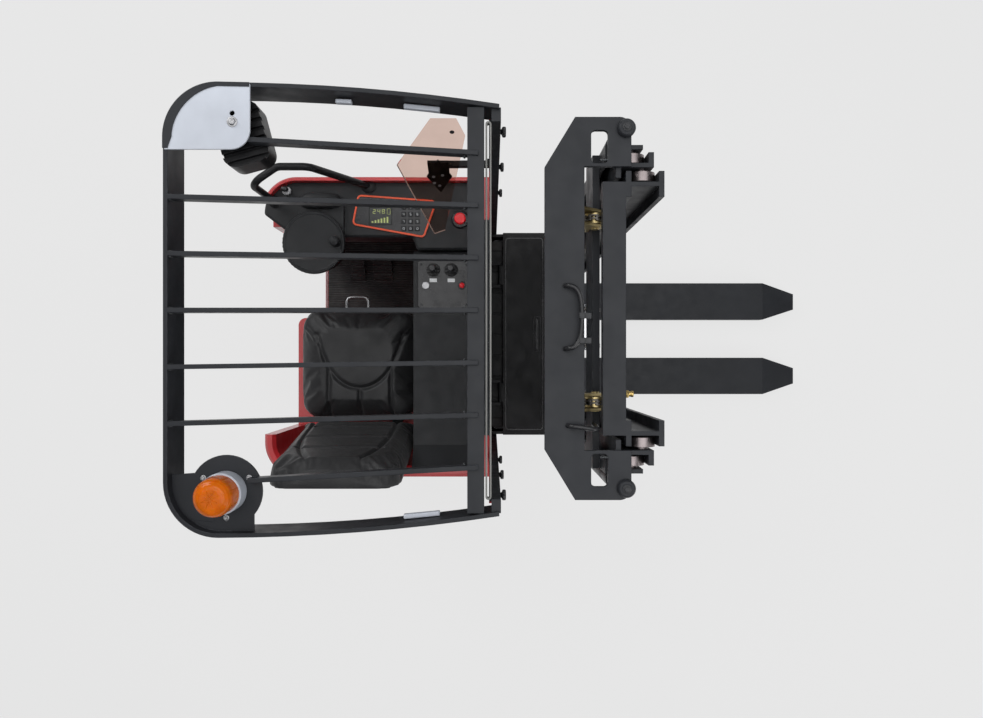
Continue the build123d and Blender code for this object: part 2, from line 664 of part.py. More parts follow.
# Steering wheel: a dished disc on a column with a spinner knob
with BuildPart() as steering_wheel:
    wheel_z = STEER_POD_TOP_Z + STEER_GAP
    wheel_top = wheel_z + STEER_WHEEL_THICKNESS
    dish_z = wheel_top - STEER_DISH
    with BuildSketch(Plane((STEER_X, STEER_Y, 0), x_dir=(1, 0, 0), z_dir=(0, -1, 0))):
        with BuildLine():
            Polyline(
                (0, DASH_FOOT_Z),
                (STEER_COLUMN_R, DASH_FOOT_Z),
                (STEER_COLUMN_R, wheel_z),
                (STEER_WHEEL_R - STEER_RIM_ROUND, wheel_z),
                (STEER_WHEEL_R, wheel_z + STEER_RIM_ROUND),
                (STEER_WHEEL_R, wheel_top - STEER_RIM_ROUND),
                (STEER_WHEEL_R - STEER_RIM_ROUND, wheel_top),
                (STEER_WHEEL_R - STEER_RIM_WIDTH, dish_z),
                (0, dish_z),
                close=True,
            )
        make_face()
    revolve(axis=Axis((STEER_X, STEER_Y, 0), (0, 0, 1)))
    turned((STEER_X + KNOB_OFFSET, STEER_Y, dish_z + KNOB_HEIGHT / 2), "Z", KNOB_HEIGHT, KNOB_R)
    fillet(steering_wheel.faces().sort_by(Axis.Z)[-1].edges(), KNOB_ROUND)

# Display with its coloured rim and keypad, on the dash
STEER_RUN = CAB_X - STEER_X
DISPLAY_OUTLINE = (
    # share of the way from the cab front to the steering column, distance from the cab's side
    (0.797, 163),
    (0.764, 57),
    (0.309, 77),
    (0.384, 209),
)
DISPLAY_HEIGHT = 6
DISPLAY_SINK = 2
DISPLAY_RIM = 6
DISPLAY_CORNER_R = 16
KEY_COLUMNS = 3
KEY_ROWS = 4
KEY_SIZE = 15
KEY_PITCH_X = 24
KEY_PITCH_Y = 25
KEY_HEIGHT = 2
KEYPAD_SHARE = 0.462
KEYPAD_FROM_SIDE = 139
KEYPAD_CENTRE = (CAB_X - KEYPAD_SHARE * STEER_RUN, CAB_HALF - KEYPAD_FROM_SIDE)
LCD_SHARES = (0.699, 0.569)
LCD_FROM_SIDE = (163, 101)
LCD_X = tuple(CAB_X - share * STEER_RUN for share in LCD_SHARES)
LCD_Y = tuple(CAB_HALF - inboard for inboard in LCD_FROM_SIDE)
LCD_DEPTH = 1.5


def display_outline(inset):
    """Plan of the display, drawn in by an inset."""
    with BuildSketch() as plan:
        with BuildLine():
            corners = [(CAB_X - share * STEER_RUN, CAB_HALF - depth) for share, depth in DISPLAY_OUTLINE]
            FilletPolyline(*corners, radius=DISPLAY_CORNER_R, close=True)
        make_face()
        if inset:
            offset(amount=-inset, mode=Mode.REPLACE)
    return plan.sketch


with BuildPart() as display_rim:
    with BuildSketch(Plane.XY.offset(DASH_TOP_Z)):
        add(display_outline(0))
        add(display_outline(DISPLAY_RIM), mode=Mode.SUBTRACT)
    extrude(amount=DISPLAY_HEIGHT)

with BuildPart() as display_panel:
    with BuildSketch(Plane.XY.offset(DASH_TOP_Z)):
        add(display_outline(DISPLAY_RIM))
    extrude(amount=DISPLAY_HEIGHT - DISPLAY_SINK)
    panel_top = DASH_TOP_Z + DISPLAY_HEIGHT - DISPLAY_SINK
    with Locations((*KEYPAD_CENTRE, panel_top + KEY_HEIGHT / 2)):
        with GridLocations(KEY_PITCH_X, KEY_PITCH_Y, KEY_COLUMNS, KEY_ROWS):
            Box(KEY_SIZE, KEY_SIZE, KEY_HEIGHT)
    block(LCD_X, LCD_Y, (panel_top - LCD_DEPTH, panel_top), Mode.SUBTRACT)

# Emergency stop: a mushroom head on a stem
STOP_FROM_FRONT = 110
STOP_X = CAB_X - STOP_FROM_FRONT
STOP_FROM_SIDE = 145
STOP_Y = CAB_HALF - STOP_FROM_SIDE
STOP_R = 20
STOP_STEM_R = 12
STOP_HEIGHT = 34
STOP_ROUND = 5
with BuildPart() as stop_button:
    turned((STOP_X, STOP_Y, DASH_TOP_Z + STOP_HEIGHT / 4), "Z", STOP_HEIGHT / 2, STOP_STEM_R)
    turned((STOP_X, STOP_Y, DASH_TOP_Z + STOP_HEIGHT * 3 / 4), "Z", STOP_HEIGHT / 2, STOP_R)
    fillet(stop_button.faces().sort_by(Axis.Z)[-1].edges(), STOP_ROUND)

# Grab handle: a bent tube from the dash's rear corner, level at first and then down to the dash
HANDLE_R = 12
HANDLE_RISE = 230
HANDLE_LIP_GAP = 4
HANDLE_LEVEL_LENGTH = 220
HANDLE_LENGTH = 380
HANDLE_LEVEL_X = REAR_X + HANDLE_LEVEL_LENGTH
HANDLE_FRONT_X = REAR_X + HANDLE_LENGTH
HANDLE_BEND_R = 40
HANDLE_ANGLE = 155
handle_turn = math.radians(HANDLE_ANGLE)
handle_circle_r = CAB_CORNER_R - COWL_LIP - HANDLE_R - HANDLE_LIP_GAP
handle_rear = (
    REAR_X + CAB_CORNER_R + handle_circle_r * math.cos(handle_turn),
    CAB_HALF - CAB_CORNER_R + handle_circle_r * math.sin(handle_turn),
)
handle_y = CAB_HALF - COWL_LIP - HANDLE_R
with BuildPart() as grab_handle:
    with BuildLine() as handle_path:
        FilletPolyline(
            (*handle_rear, DASH_TOP_Z),
            (*handle_rear, WALL_TOP_Z + HANDLE_RISE),
            (REAR_X + CAB_CORNER_R, handle_y, WALL_TOP_Z + HANDLE_RISE),
            (HANDLE_LEVEL_X, handle_y, WALL_TOP_Z + HANDLE_RISE),
            (HANDLE_FRONT_X, handle_y, DASH_TOP_Z - 2 * HANDLE_R),
            radius=HANDLE_BEND_R,
        )
    with BuildSketch(Plane(handle_path.line @ 0, z_dir=(0, 0, 1))):
        Circle(HANDLE_R)
    sweep()
    block((REAR_X, CAB_X), (0, CAB_HALF), (DASH_FOOT_Z, DASH_TOP_Z), Mode.SUBTRACT)

# Seat: suspension base and back bracket on the seat box, cushion and leaning backrest
BRACKET_THICKNESS = 20
BRACKET_WIDTH = 40
BRACKET_RISE = 60
BRACKET_SPREAD = 130
seat_base_top = SEAT_BOX_TOP_Z + SEAT_BASE_HEIGHT
cushion_z = seat_base_top + SOFT_GAP
back_rear_y = BACK_FRONT_BOTTOM_Y - BACK_THICKNESS - SOFT_GAP
back_lean = (BACK_FRONT_TOP_Y - BACK_FRONT_BOTTOM_Y) / (BACK_TOP_Z - BACK_BOTTOM_Z)
with BuildPart() as seat_base:
    base_half = SEAT_WIDTH / 2 - SEAT_BASE_INSET
    base_y = (SEAT_REAR_Y + SEAT_BASE_INSET, SEAT_BOX_FRONT_Y - SEAT_BASE_INSET / 2)
    block((SEAT_X - base_half, SEAT_X + base_half), base_y, (SEAT_BOX_TOP_Z, seat_base_top))
    fillet(seat_base.edges().filter_by(Axis.Z), CONSOLE_EDGE_R)
    for side in SIDES:
        with BuildSketch(Plane.YZ.offset(SEAT_X + side * BRACKET_SPREAD)):
            with BuildLine():
                Polyline(
                    (base_y[0], seat_base_top - BRACKET_THICKNESS),
                    (back_rear_y - 2 * BRACKET_THICKNESS, seat_base_top - BRACKET_THICKNESS),
                    (back_rear_y - 2 * BRACKET_THICKNESS, BACK_BOTTOM_Z + BRACKET_RISE),
                    (back_rear_y + back_lean * BRACKET_RISE, BACK_BOTTOM_Z + BRACKET_RISE),
                    (back_rear_y, BACK_BOTTOM_Z),
                    (back_rear_y, seat_base_top),
                    (base_y[0], seat_base_top),
                    close=True,
                )
            make_face()
        extrude(amount=BRACKET_WIDTH / 2, both=True)

with BuildPart() as seat_cushion:
    seat_half = SEAT_WIDTH / 2
    block(
        (SEAT_X - seat_half, SEAT_X + seat_half),
        (SEAT_REAR_Y, SEAT_FRONT_Y),
        (cushion_z, cushion_z + CUSHION_THICKNESS),
    )
    fillet(seat_cushion.edges().filter_by(Axis.Z), CUSHION_CORNER_R)
    fillet(seat_cushion.faces().sort_by(Axis.Z)[-1].edges(), CUSHION_EDGE_R)

with BuildPart() as seat_back:
    with BuildSketch(Plane.YZ.offset(SEAT_X)):
        with BuildLine():
            Polyline(
                (BACK_FRONT_BOTTOM_Y, BACK_BOTTOM_Z),
                (BACK_FRONT_TOP_Y, BACK_TOP_Z),
                (BACK_FRONT_TOP_Y - BACK_THICKNESS, BACK_TOP_Z),
                (BACK_FRONT_BOTTOM_Y - BACK_THICKNESS, BACK_BOTTOM_Z),
                close=True,
            )
        make_face()
    extrude(amount=SEAT_WIDTH / 2, both=True)
    fillet(seat_back.edges().group_by(Axis.Z)[-1].filter_by(Axis.X, reverse=True), BACK_CORNER_R)
    fillet(seat_back.faces().sort_by(Axis.Y)[-1].edges(), BACK_EDGE_R)


# Overhead guard
def guard_outline(inset, front_x):
    """Plan of the guard, drawn in by an inset: round rear corners and sides that bow in to the mast end."""
    rear_x = GUARD_REAR_X + inset
    half = GUARD_REAR_HALF - inset
    radius = GUARD_CORNER_R - inset
    slope = (GUARD_FRONT_HALF - GUARD_REAR_HALF) / (GUARD_FRONT_X - GUARD_REAR_X - GUARD_CORNER_R)
    front_half = half + slope * (front_x - rear_x - radius)
    middle = ((rear_x + radius + front_x) / 2, (half + front_half) / 2 + GUARD_BOW)
    bend = radius * (1 - math.sqrt(0.5))
    with BuildSketch() as plan:
        with BuildLine():
            Line((rear_x, 0), (rear_x, half - radius))
            ThreePointArc((rear_x, half - radius), (rear_x + bend, half - bend), (rear_x + radius, half))
            ThreePointArc((rear_x + radius, half), middle, (front_x, front_half))
            Line((front_x, front_half), (front_x, 0))
            mirror(about=Plane.XZ)
        make_face()
    return plan.sketch


plate_front_x = GUARD_REAR_X + CORNER_PLATE_LENGTH
with BuildPart() as guard_frame:
    with BuildSketch(Plane.XY.offset(GUARD_TOP_Z - GUARD_HEIGHT)):
        add(guard_outline(0, GUARD_FRONT_X))
        add(guard_outline(GUARD_PLATE, GUARD_FRONT_X), mode=Mode.SUBTRACT)
    extrude(amount=GUARD_HEIGHT)
    cross_half = GUARD_FRONT_HALF - GUARD_PLATE + GUARD_WELD_DEPTH
    cross_bar_z = (GUARD_TOP_Z - CROSS_BAR_HEIGHT, GUARD_TOP_Z - CROSS_BAR_DROP)
    block(CROSS_BAR, (-cross_half, cross_half), cross_bar_z)
    bar_end_x = CROSS_BAR[1] - GUARD_BAR_END
    with BuildSketch(Plane.XY.offset(GUARD_TOP_Z - GUARD_BAR_HEIGHT)):
        for index in range(-GUARD_BARS_EACH_SIDE, GUARD_BARS_EACH_SIDE + 1):
            outermost = abs(index) == GUARD_BARS_EACH_SIDE
            start_x = plate_front_x - CORNER_PLATE_LAP if outermost else GUARD_REAR_X + GUARD_WELD_DEPTH
            rear_y = index * GUARD_BAR_REAR_PITCH
            front_y = rear_y * GUARD_BAR_TAPER
            with BuildLine():
                Polyline(
                    (start_x, rear_y - GUARD_BAR_WIDTH / 2),
                    (bar_end_x, front_y - GUARD_BAR_WIDTH / 2),
                    (bar_end_x, front_y + GUARD_BAR_WIDTH / 2),
                    (start_x, rear_y + GUARD_BAR_WIDTH / 2),
                    close=True,
                )
            make_face()
    extrude(amount=GUARD_BAR_HEIGHT)
    # Front posts down to the bulkhead
    post_far = GUARD_FRONT_HALF - GUARD_PLATE / 2
    for side in SIDES:
        post_y = side_span(side, post_far - POST_WIDTH, post_far)
        block((CAB_X, CAB_X + POST_DEPTH), post_y, (POST_FOOT_Z, GUARD_TOP_Z - GUARD_PLATE))
    # Corner plates that the lamp and the beacon hang from and stand on
    beacon_plate_y = BEACON_Y - BEACON_PLATE_LAP
    with BuildSketch(Plane.XY.offset(GUARD_TOP_Z - GUARD_BAR_HEIGHT)):
        add(guard_outline(GUARD_PLATE / 2, GUARD_FRONT_X))
        with BuildSketch(mode=Mode.PRIVATE) as plate_area:
            with Locations(((GUARD_REAR_X + plate_front_x) / 2, (beacon_plate_y - CAB_HALF) / 2)):
                Rectangle(plate_front_x - GUARD_REAR_X, beacon_plate_y + CAB_HALF)
            with Locations((BEACON_X, BEACON_Y)):
                Circle(BEACON_BOSS_R)
        add(plate_area.sketch, mode=Mode.INTERSECT)
    extrude(amount=CORNER_PLATE)

with BuildPart() as lamp_plate:
    with BuildSketch(Plane.XY.offset(GUARD_TOP_Z)):
        add(guard_outline(LAMP_PLATE_MARGIN, GUARD_FRONT_X))
        with BuildSketch(mode=Mode.PRIVATE) as lamp_area:
            area_rear_x = GUARD_REAR_X - LAMP_PLATE_CORNER_R
            area_far_y = GUARD_REAR_HALF + LAMP_PLATE_CORNER_R
            with Locations(((area_rear_x + plate_front_x) / 2, (LAMP_PLATE_Y + area_far_y) / 2)):
                RectangleRounded(plate_front_x - area_rear_x, area_far_y - LAMP_PLATE_Y, LAMP_PLATE_CORNER_R)
        add(lamp_area.sketch, mode=Mode.INTERSECT)
        with Locations((LAMP_HOLE_X, LAMP_HOLE_Y)):
            Circle(LAMP_HOLE_R, mode=Mode.SUBTRACT)
    extrude(amount=CORNER_PLATE)

# Clear screen behind the front posts
with BuildPart() as front_screen:
    screen_half = post_far - POST_WIDTH / 2
    screen_z = (SCREEN_BOTTOM_Z, GUARD_TOP_Z - CROSS_BAR_HEIGHT / 2)
    block((CAB_X - SCREEN_THICKNESS, CAB_X), (-screen_half, screen_half), screen_z)
    fillet(front_screen.edges().filter_by(Axis.X), SCREEN_CORNER_R)

STAR_KNOB_R = 14
STAR_KNOB_HEIGHT = 14
STAR_KNOB_INSET = 6
STAR_KNOB_FOOT = 75
STAR_KNOB_HEAD = 120
knob_low_z = SCREEN_BOTTOM_Z + STAR_KNOB_FOOT
knob_high_z = GUARD_TOP_Z - STAR_KNOB_HEAD
STAR_KNOBS_Z = (knob_low_z, (knob_low_z + knob_high_z) / 2, knob_high_z)
with BuildPart() as screen_knobs:
    for side in SIDES:
        knob_y = side * (screen_half - STAR_KNOB_INSET)
        for knob_z_level in STAR_KNOBS_Z:
            knob_at = (CAB_X + POST_DEPTH + STAR_KNOB_HEIGHT / 2, knob_y, knob_z_level)
            turned(knob_at, "X", STAR_KNOB_HEIGHT, STAR_KNOB_R)

# Work lamp under the lamp plate: a finned housing on a bracket
LAMP_FROM_REAR = 166
LAMP_X = GUARD_REAR_X + LAMP_FROM_REAR
LAMP_FROM_SIDE = 106
LAMP_Y = GUARD_REAR_HALF - LAMP_FROM_SIDE
LAMP_WIDTH = 110
LAMP_LENGTH = 150
LAMP_DEPTH = 70
LAMP_CORNER_R = 30
LAMP_TURN = 15
LAMP_GROOVES = 7
LAMP_GROOVE_WIDTH = 9.6
LAMP_GROOVE_DEPTH = 12
LAMP_STEM_R = 12
LAMP_DROP = 36
with BuildPart() as work_lamp:
    lamp_top = GUARD_TOP_Z - LAMP_DROP
    lamp_mid = lamp_top - LAMP_DEPTH / 2
    with Locations(Location((LAMP_X, LAMP_Y, lamp_mid), (0, 0, LAMP_TURN))):
        Box(LAMP_WIDTH, LAMP_LENGTH, LAMP_DEPTH)
    fillet(work_lamp.edges().filter_by(Axis.Z), LAMP_CORNER_R)
    with Locations(Location((LAMP_X, LAMP_Y, lamp_top), (0, 0, LAMP_TURN))):
        with GridLocations(0, LAMP_LENGTH / LAMP_GROOVES, 1, LAMP_GROOVES):
            Box(LAMP_WIDTH, LAMP_GROOVE_WIDTH, 2 * LAMP_GROOVE_DEPTH, mode=Mode.SUBTRACT)
    stem_length = LAMP_DROP + LAMP_GROOVE_DEPTH
    turned((LAMP_X, LAMP_Y, GUARD_TOP_Z - stem_length / 2), "Z", stem_length, LAMP_STEM_R)

# Beacon on its plate: a base ring and a dome
with BuildPart() as beacon_base:
    beacon_foot_z = GUARD_TOP_Z - GUARD_BAR_HEIGHT + CORNER_PLATE
    beacon_base_top = GUARD_TOP_Z + BEACON_BASE_HEIGHT
    beacon_base_height = beacon_base_top - beacon_foot_z
    beacon_base_middle = (BEACON_X, BEACON_Y, beacon_foot_z + beacon_base_height / 2)
    turned(beacon_base_middle, "Z", beacon_base_height, BEACON_R + BEACON_RING)
    fillet(beacon_base.faces().sort_by(Axis.Z)[-1].edges(), BEACON_RING_ROUND)

with BuildPart() as beacon_dome:
    dome_height = BEACON_HEIGHT - BEACON_BASE_HEIGHT
    turned((BEACON_X, BEACON_Y, beacon_base_top + dome_height / 2), "Z", dome_height, BEACON_R)
    fillet(beacon_dome.faces().sort_by(Axis.Z)[-1].edges(), BEACON_DOME_ROUND)

# Tinted document plate on an arm from the front post
TINT_OUTLINE = (
    # X offset from the cab front, share of the slope from foot to head
    (-158, 1.04),
    (-265, 0.68),
    (-185, 0),
    (-150, 0.04),
    (-70, 0.915),
    (-91, 1.04),
)
TINT_THICKNESS = 5
TINT_FOOT_SHARE = 0.195
TINT_HEAD_SHARE = 0.747
TINT_RUN = 200
TINT_FROM_SIDE = 225
TINT_FOOT_Y = CAB_HALF - TINT_FROM_SIDE
screen_room = GUARD_TOP_Z - WALL_TOP_Z
tint_foot_z = WALL_TOP_Z + TINT_FOOT_SHARE * screen_room
tint_rise = (TINT_HEAD_SHARE - TINT_FOOT_SHARE) * screen_room
tint_slope = math.hypot(TINT_RUN, tint_rise)
tint_foot = (CAB_X, TINT_FOOT_Y, tint_foot_z)
tint_plane = Plane(tint_foot, x_dir=(1, 0, 0), z_dir=(0, -tint_rise, TINT_RUN))
with BuildPart() as tinted_plate:
    with BuildSketch(tint_plane):
        with BuildLine():
            Polyline(*[(x, share * tint_slope) for x, share in TINT_OUTLINE], close=True)
        make_face()
    extrude(amount=TINT_THICKNESS)

ARM_SHARE = 0.635
ARM_X = -150
ARM_SIZE = 60
ARM_PLATE = 8
ARM_SETBACK = 14
ARM_HALF_HEIGHT = 12
with BuildPart() as plate_arm:
    with BuildSketch(tint_plane):
        with Locations((ARM_X, ARM_SHARE * tint_slope)):
            Rectangle(ARM_SIZE, ARM_SIZE)
    extrude(amount=-ARM_PLATE)
    arm_y = TINT_FOOT_Y + ARM_SHARE * TINT_RUN + ARM_SETBACK
    arm_mid_z = tint_foot_z + ARM_SHARE * tint_rise
    arm_z = (arm_mid_z - ARM_HALF_HEIGHT, arm_mid_z + ARM_HALF_HEIGHT)
    arm_end_x = CAB_X - SCREEN_THICKNESS
    block((CAB_X + ARM_X, arm_end_x), (arm_y - ARM_PLATE, arm_y + ARM_PLATE), arm_z)
    block((arm_end_x - ARM_PLATE, arm_end_x), (arm_y - ARM_PLATE, screen_half), arm_z)

# Battery bay: an open tray on the legs, the battery in it and a hinged lid
tray_x = (CAB_X, MAST_X)
tray_z = (TRAY_Z, DECK_Z - DECK_LIP - LID_GAP)
with BuildPart() as battery_tray:
    block(tray_x, (-DECK_HALF, DECK_HALF), (TRAY_Z, TRAY_Z + TRAY_PLATE))
    for side in SIDES:
        block(tray_x, side_span(side, DECK_HALF - TRAY_PLATE, DECK_HALF), tray_z)
    block((MAST_X - TRAY_PLATE, MAST_X), (-DECK_HALF, DECK_HALF), tray_z)

with BuildPart() as battery:
    block(
        (CAB_X + BATTERY_GAP, MAST_X - TRAY_PLATE - BATTERY_GAP),
        (-DECK_HALF + TRAY_PLATE + BATTERY_GAP, DECK_HALF - TRAY_PLATE - BATTERY_GAP),
        (TRAY_Z + TRAY_PLATE, DECK_Z - DECK_LIP - BATTERY_TOP_GAP),
    )
    fillet(battery.edges().filter_by(Axis.Z), BATTERY_EDGE_R)

LID_HINGES_Y = (-250, 250)
LID_HINGE_LENGTH = 80
LID_EAR = 12
LID_EAR_GAP = 2
lid_hinge_z = DECK_Z - DECK_PLATE / 2
with BuildPart() as battery_lid:
    lid_x = (LID_HINGE_X + LID_HINGE_R + LID_GAP, MAST_X - LID_GAP)
    block(lid_x, (-DECK_HALF, DECK_HALF), (DECK_Z - DECK_PLATE, DECK_Z))
    for side in SIDES:
        lip_y = side_span(side, DECK_HALF - DECK_PLATE, DECK_HALF)
        block(lid_x, lip_y, (DECK_Z - DECK_LIP, DECK_Z))
    block((lid_x[1] - DECK_PLATE, lid_x[1]), (-DECK_HALF, DECK_HALF), (DECK_Z - DECK_LIP, DECK_Z))
    for hinge_y in LID_HINGES_Y:
        leaf_y = (hinge_y - LID_HINGE_LENGTH / 2, hinge_y + LID_HINGE_LENGTH / 2)
        block((LID_HINGE_X, lid_x[0]), leaf_y, (DECK_Z - DECK_PLATE, DECK_Z))
        turned((LID_HINGE_X, hinge_y, lid_hinge_z), "Y", LID_HINGE_LENGTH, LID_HINGE_R)
        turned((LID_HINGE_X, hinge_y, lid_hinge_z), "Y", LID_HINGE_LENGTH, LID_HINGE_R / 2, Mode.SUBTRACT)

with BuildPart() as lid_hinges:
    for hinge_y in LID_HINGES_Y:
        for end in SIDES:
            ear_y = hinge_y + end * (LID_HINGE_LENGTH / 2 + LID_EAR / 2 + LID_EAR_GAP)
            ear_z = (lid_hinge_z - LID_HINGE_R, lid_hinge_z + LID_HINGE_R)
            block((CAB_X, LID_HINGE_X), (ear_y - LID_EAR / 2, ear_y + LID_EAR / 2), ear_z)
            turned((LID_HINGE_X, ear_y, lid_hinge_z), "Y", LID_EAR, LID_HINGE_R)
        pin_length = LID_HINGE_LENGTH + 2 * LID_EAR
        turned((LID_HINGE_X, hinge_y, lid_hinge_z), "Y", pin_length, LID_HINGE_R / 2 - RUNNING_FIT)


# Mast stages
def rail(web_y, rail_x, foot_z, top_z, reaches):
    """A pair of mast rails: upright webs with flanges that reach out and in."""
    for side in SIDES:
        web_span = side_span(side, web_y - RAIL_WEB / 2, web_y + RAIL_WEB / 2)
        block((rail_x, rail_x + RAIL_DEPTH), web_span, (foot_z, top_z))
        for near, far in reaches:
            flange_y = side_span(side, near, far)
            block((rail_x, rail_x + RAIL_FLANGE), flange_y, (foot_z, top_z))
            block((rail_x + RAIL_DEPTH - RAIL_FLANGE, rail_x + RAIL_DEPTH), flange_y, (foot_z, top_z))


def outward(web_y):
    """Reach of the flanges on a web's outer face."""
    return (web_y + RAIL_WEB / 2, web_y + RAIL_WEB / 2 + RAIL_FLANGE_REACH)


def inward(web_y):
    """Reach of the flanges on a web's inner face."""
    return (web_y - RAIL_WEB / 2 - RAIL_FLANGE_REACH, web_y - RAIL_WEB / 2)


def notch(flange_x, reach, z_span):
    """A flange cut away beside a roller."""
    for side in SIDES:
        block((flange_x, flange_x + RAIL_FLANGE), side_span(side, *reach), z_span, Mode.SUBTRACT)


def rollers(roller_x, face_y, towards, heights):
    """Pairs of mast rollers on stub bosses that stand on a web's face, inwards (-1) or outwards (1)."""
    for side in SIDES:
        for roller_z in heights:
            boss_y = side * (face_y + towards * ROLLER_BOSS / 2)
            tread_y = side * (face_y + towards * (ROLLER_BOSS + ROLLER_WIDTH / 2))
            turned((roller_x, boss_y, roller_z), "Y", ROLLER_BOSS, ROLLER_BOSS_R)
            turned((roller_x, tread_y, roller_z), "Y", ROLLER_WIDTH, ROLLER_R)


OUTER_CROSS = (
    # share of the rail's top height up to the middle of each cross member, its depth
    (0.1753, 180),
    (0.5483, 140),
    (0.9348, 120),
)
STAY_INSET = 20
STAY_WIDTH = 40
with BuildPart() as mast_outer:
    rail(OUTER_WEB_Y, OUTER_X, OUTER_FOOT_Z, OUTER_TOP_Z, [inward(OUTER_WEB_Y)])
    notch(
        OUTER_X + RAIL_DEPTH - RAIL_FLANGE,
        inward(OUTER_WEB_Y),
        (OUTER_TOP_Z - ROLLER_NOTCH, OUTER_TOP_Z),
    )
    outer_half = OUTER_WEB_Y + RAIL_WEB / 2
    for cross_share, cross_depth in OUTER_CROSS:
        cross_mid_z = cross_share * OUTER_TOP_Z
        cross_z = (cross_mid_z - cross_depth / 2, cross_mid_z + cross_depth / 2)
        block((OUTER_X - CROSS_MEMBER, OUTER_X), (-outer_half, outer_half), cross_z)
    stay_mid_z = OUTER_CROSS[0][0] * OUTER_TOP_Z
    stay_reach = OUTER_CROSS[0][1] / 2 - STAY_INSET
    for side in SIDES:
        stay_y = side_span(side, outer_half - STAY_INSET - STAY_WIDTH, outer_half - STAY_INSET)
        block((MAST_X, OUTER_X - CROSS_MEMBER), stay_y, (stay_mid_z - stay_reach, stay_mid_z + stay_reach))

with BuildPart() as outer_rollers:
    rollers(MIDDLE_X + RAIL_DEPTH / 2, OUTER_WEB_Y - RAIL_WEB / 2, -1, [OUTER_TOP_Z - ROLLER_END])

with BuildPart() as mast_middle:
    middle_reaches = [outward(MIDDLE_WEB_Y), inward(MIDDLE_WEB_Y)]
    rail(MIDDLE_WEB_Y, MIDDLE_X, STAGE_FOOT_Z, MIDDLE_TOP_Z, middle_reaches)
    notch(MIDDLE_X, outward(MIDDLE_WEB_Y), (STAGE_FOOT_Z, STAGE_FOOT_Z + ROLLER_NOTCH))
    notch(
        MIDDLE_X + RAIL_DEPTH - RAIL_FLANGE,
        inward(MIDDLE_WEB_Y),
        (MIDDLE_TOP_Z - ROLLER_NOTCH, MIDDLE_TOP_Z),
    )
    middle_half = MIDDLE_WEB_Y + RAIL_WEB / 2
    middle_bar_z = (STAGE_FOOT_Z, STAGE_FOOT_Z + MIDDLE_FOOT_BAR)
    block((MIDDLE_X - CROSS_MEMBER, MIDDLE_X), (-middle_half, middle_half), middle_bar_z)
    bracket_x = YOKE_REAR_X + YOKE_BAR_WIDTH + YOKE_BRACKET
    with BuildSketch(Plane.XY.offset(MIDDLE_TOP_Z)) as yoke_plan:
        with BuildLine():
            Polyline(
                (YOKE_REAR_X, 0),
                (YOKE_REAR_X, YOKE_HALF - YOKE_CHAMFER_Y),
                (YOKE_REAR_X + YOKE_CHAMFER_X, YOKE_HALF),
                (YOKE_FRONT_X, YOKE_HALF),
                (YOKE_FRONT_X, YOKE_EAR_INNER_Y),
                (bracket_x, YOKE_EAR_INNER_Y),
                (bracket_x, 0),
            )
            mirror(about=Plane.XZ)
        make_face()
        for side in SIDES:
            with Locations((YOKE_POCKET_X, side * YOKE_POCKET_Y)):
                RectangleRounded(*YOKE_POCKET, YOKE_POCKET_R, mode=Mode.SUBTRACT)
        ear_ends = yoke_plan.vertices().group_by(Axis.X)[-1]
        fillet([ear_ends.sort_by(Axis.Y)[0], ear_ends.sort_by(Axis.Y)[-1]], YOKE_EAR_R)
    extrude(amount=YOKE_PLATE)

with BuildPart() as middle_rollers:
    rollers(INNER_X + RAIL_DEPTH / 2, MIDDLE_WEB_Y - RAIL_WEB / 2, -1, [MIDDLE_TOP_Z - ROLLER_END])
    rollers(OUTER_X + RAIL_DEPTH / 2, MIDDLE_WEB_Y + RAIL_WEB / 2, 1, [STAGE_FOOT_Z + ROLLER_END])

with BuildPart() as mast_inner:
    inner_reaches = [outward(INNER_WEB_Y), inward(INNER_WEB_Y)]
    rail(INNER_WEB_Y, INNER_X, STAGE_FOOT_Z, INNER_TOP_Z, inner_reaches)
    notch(INNER_X, outward(INNER_WEB_Y), (STAGE_FOOT_Z, STAGE_FOOT_Z + ROLLER_NOTCH))
    inner_half = INNER_WEB_Y + RAIL_WEB / 2
    inner_bar_x = (INNER_X - CROSS_MEMBER, INNER_X)
    block(inner_bar_x, (-inner_half, inner_half), (STAGE_FOOT_Z, STAGE_FOOT_Z + INNER_FOOT_BAR))
    head_bar_z = (INNER_TOP_Z - INNER_HEAD_BAR, INNER_TOP_Z)
    block((INNER_X - INNER_HEAD_DEPTH, INNER_X), (-inner_half, inner_half), head_bar_z)
    foot_half = FREE_CYLINDER_R + FREE_FOOT_MARGIN
    foot_plate_x = (INNER_X, FREE_CYLINDER_X + FREE_CYLINDER_R)
    block(foot_plate_x, (-foot_half, foot_half), (STAGE_FOOT_Z, STAGE_FOOT_Z + FREE_FOOT_PLATE))
    anchor_foot_z = FREE_CHAIN_FOOT_Z - 3 * CHAIN_LUG / 2
    block(inner_bar_x, (-INNER_WEB_Y, INNER_WEB_Y), (anchor_foot_z, anchor_foot_z + CHAIN_LUG))
    anchor_x = (INNER_X - CROSS_MEMBER, FREE_CYLINDER_X - SHEAVE_R)
    lug_x = (LIFT_SHEAVE_X + LIFT_SHEAVE_R, INNER_X)
    for side in SIDES:
        anchor_y = side_span(side, SHEAVE_Y - CHAIN_WIDTH / 2, SHEAVE_Y + CHAIN_WIDTH / 2)
        block(anchor_x, anchor_y, (anchor_foot_z, FREE_CHAIN_FOOT_Z))
        lug_y = side_span(side, LIFT_SHEAVE_Y - CHAIN_WIDTH / 2, LIFT_SHEAVE_Y + CHAIN_WIDTH / 2)
        block(lug_x, lug_y, (LIFT_CHAIN_FRONT_Z - CHAIN_LUG, LIFT_CHAIN_FRONT_Z))

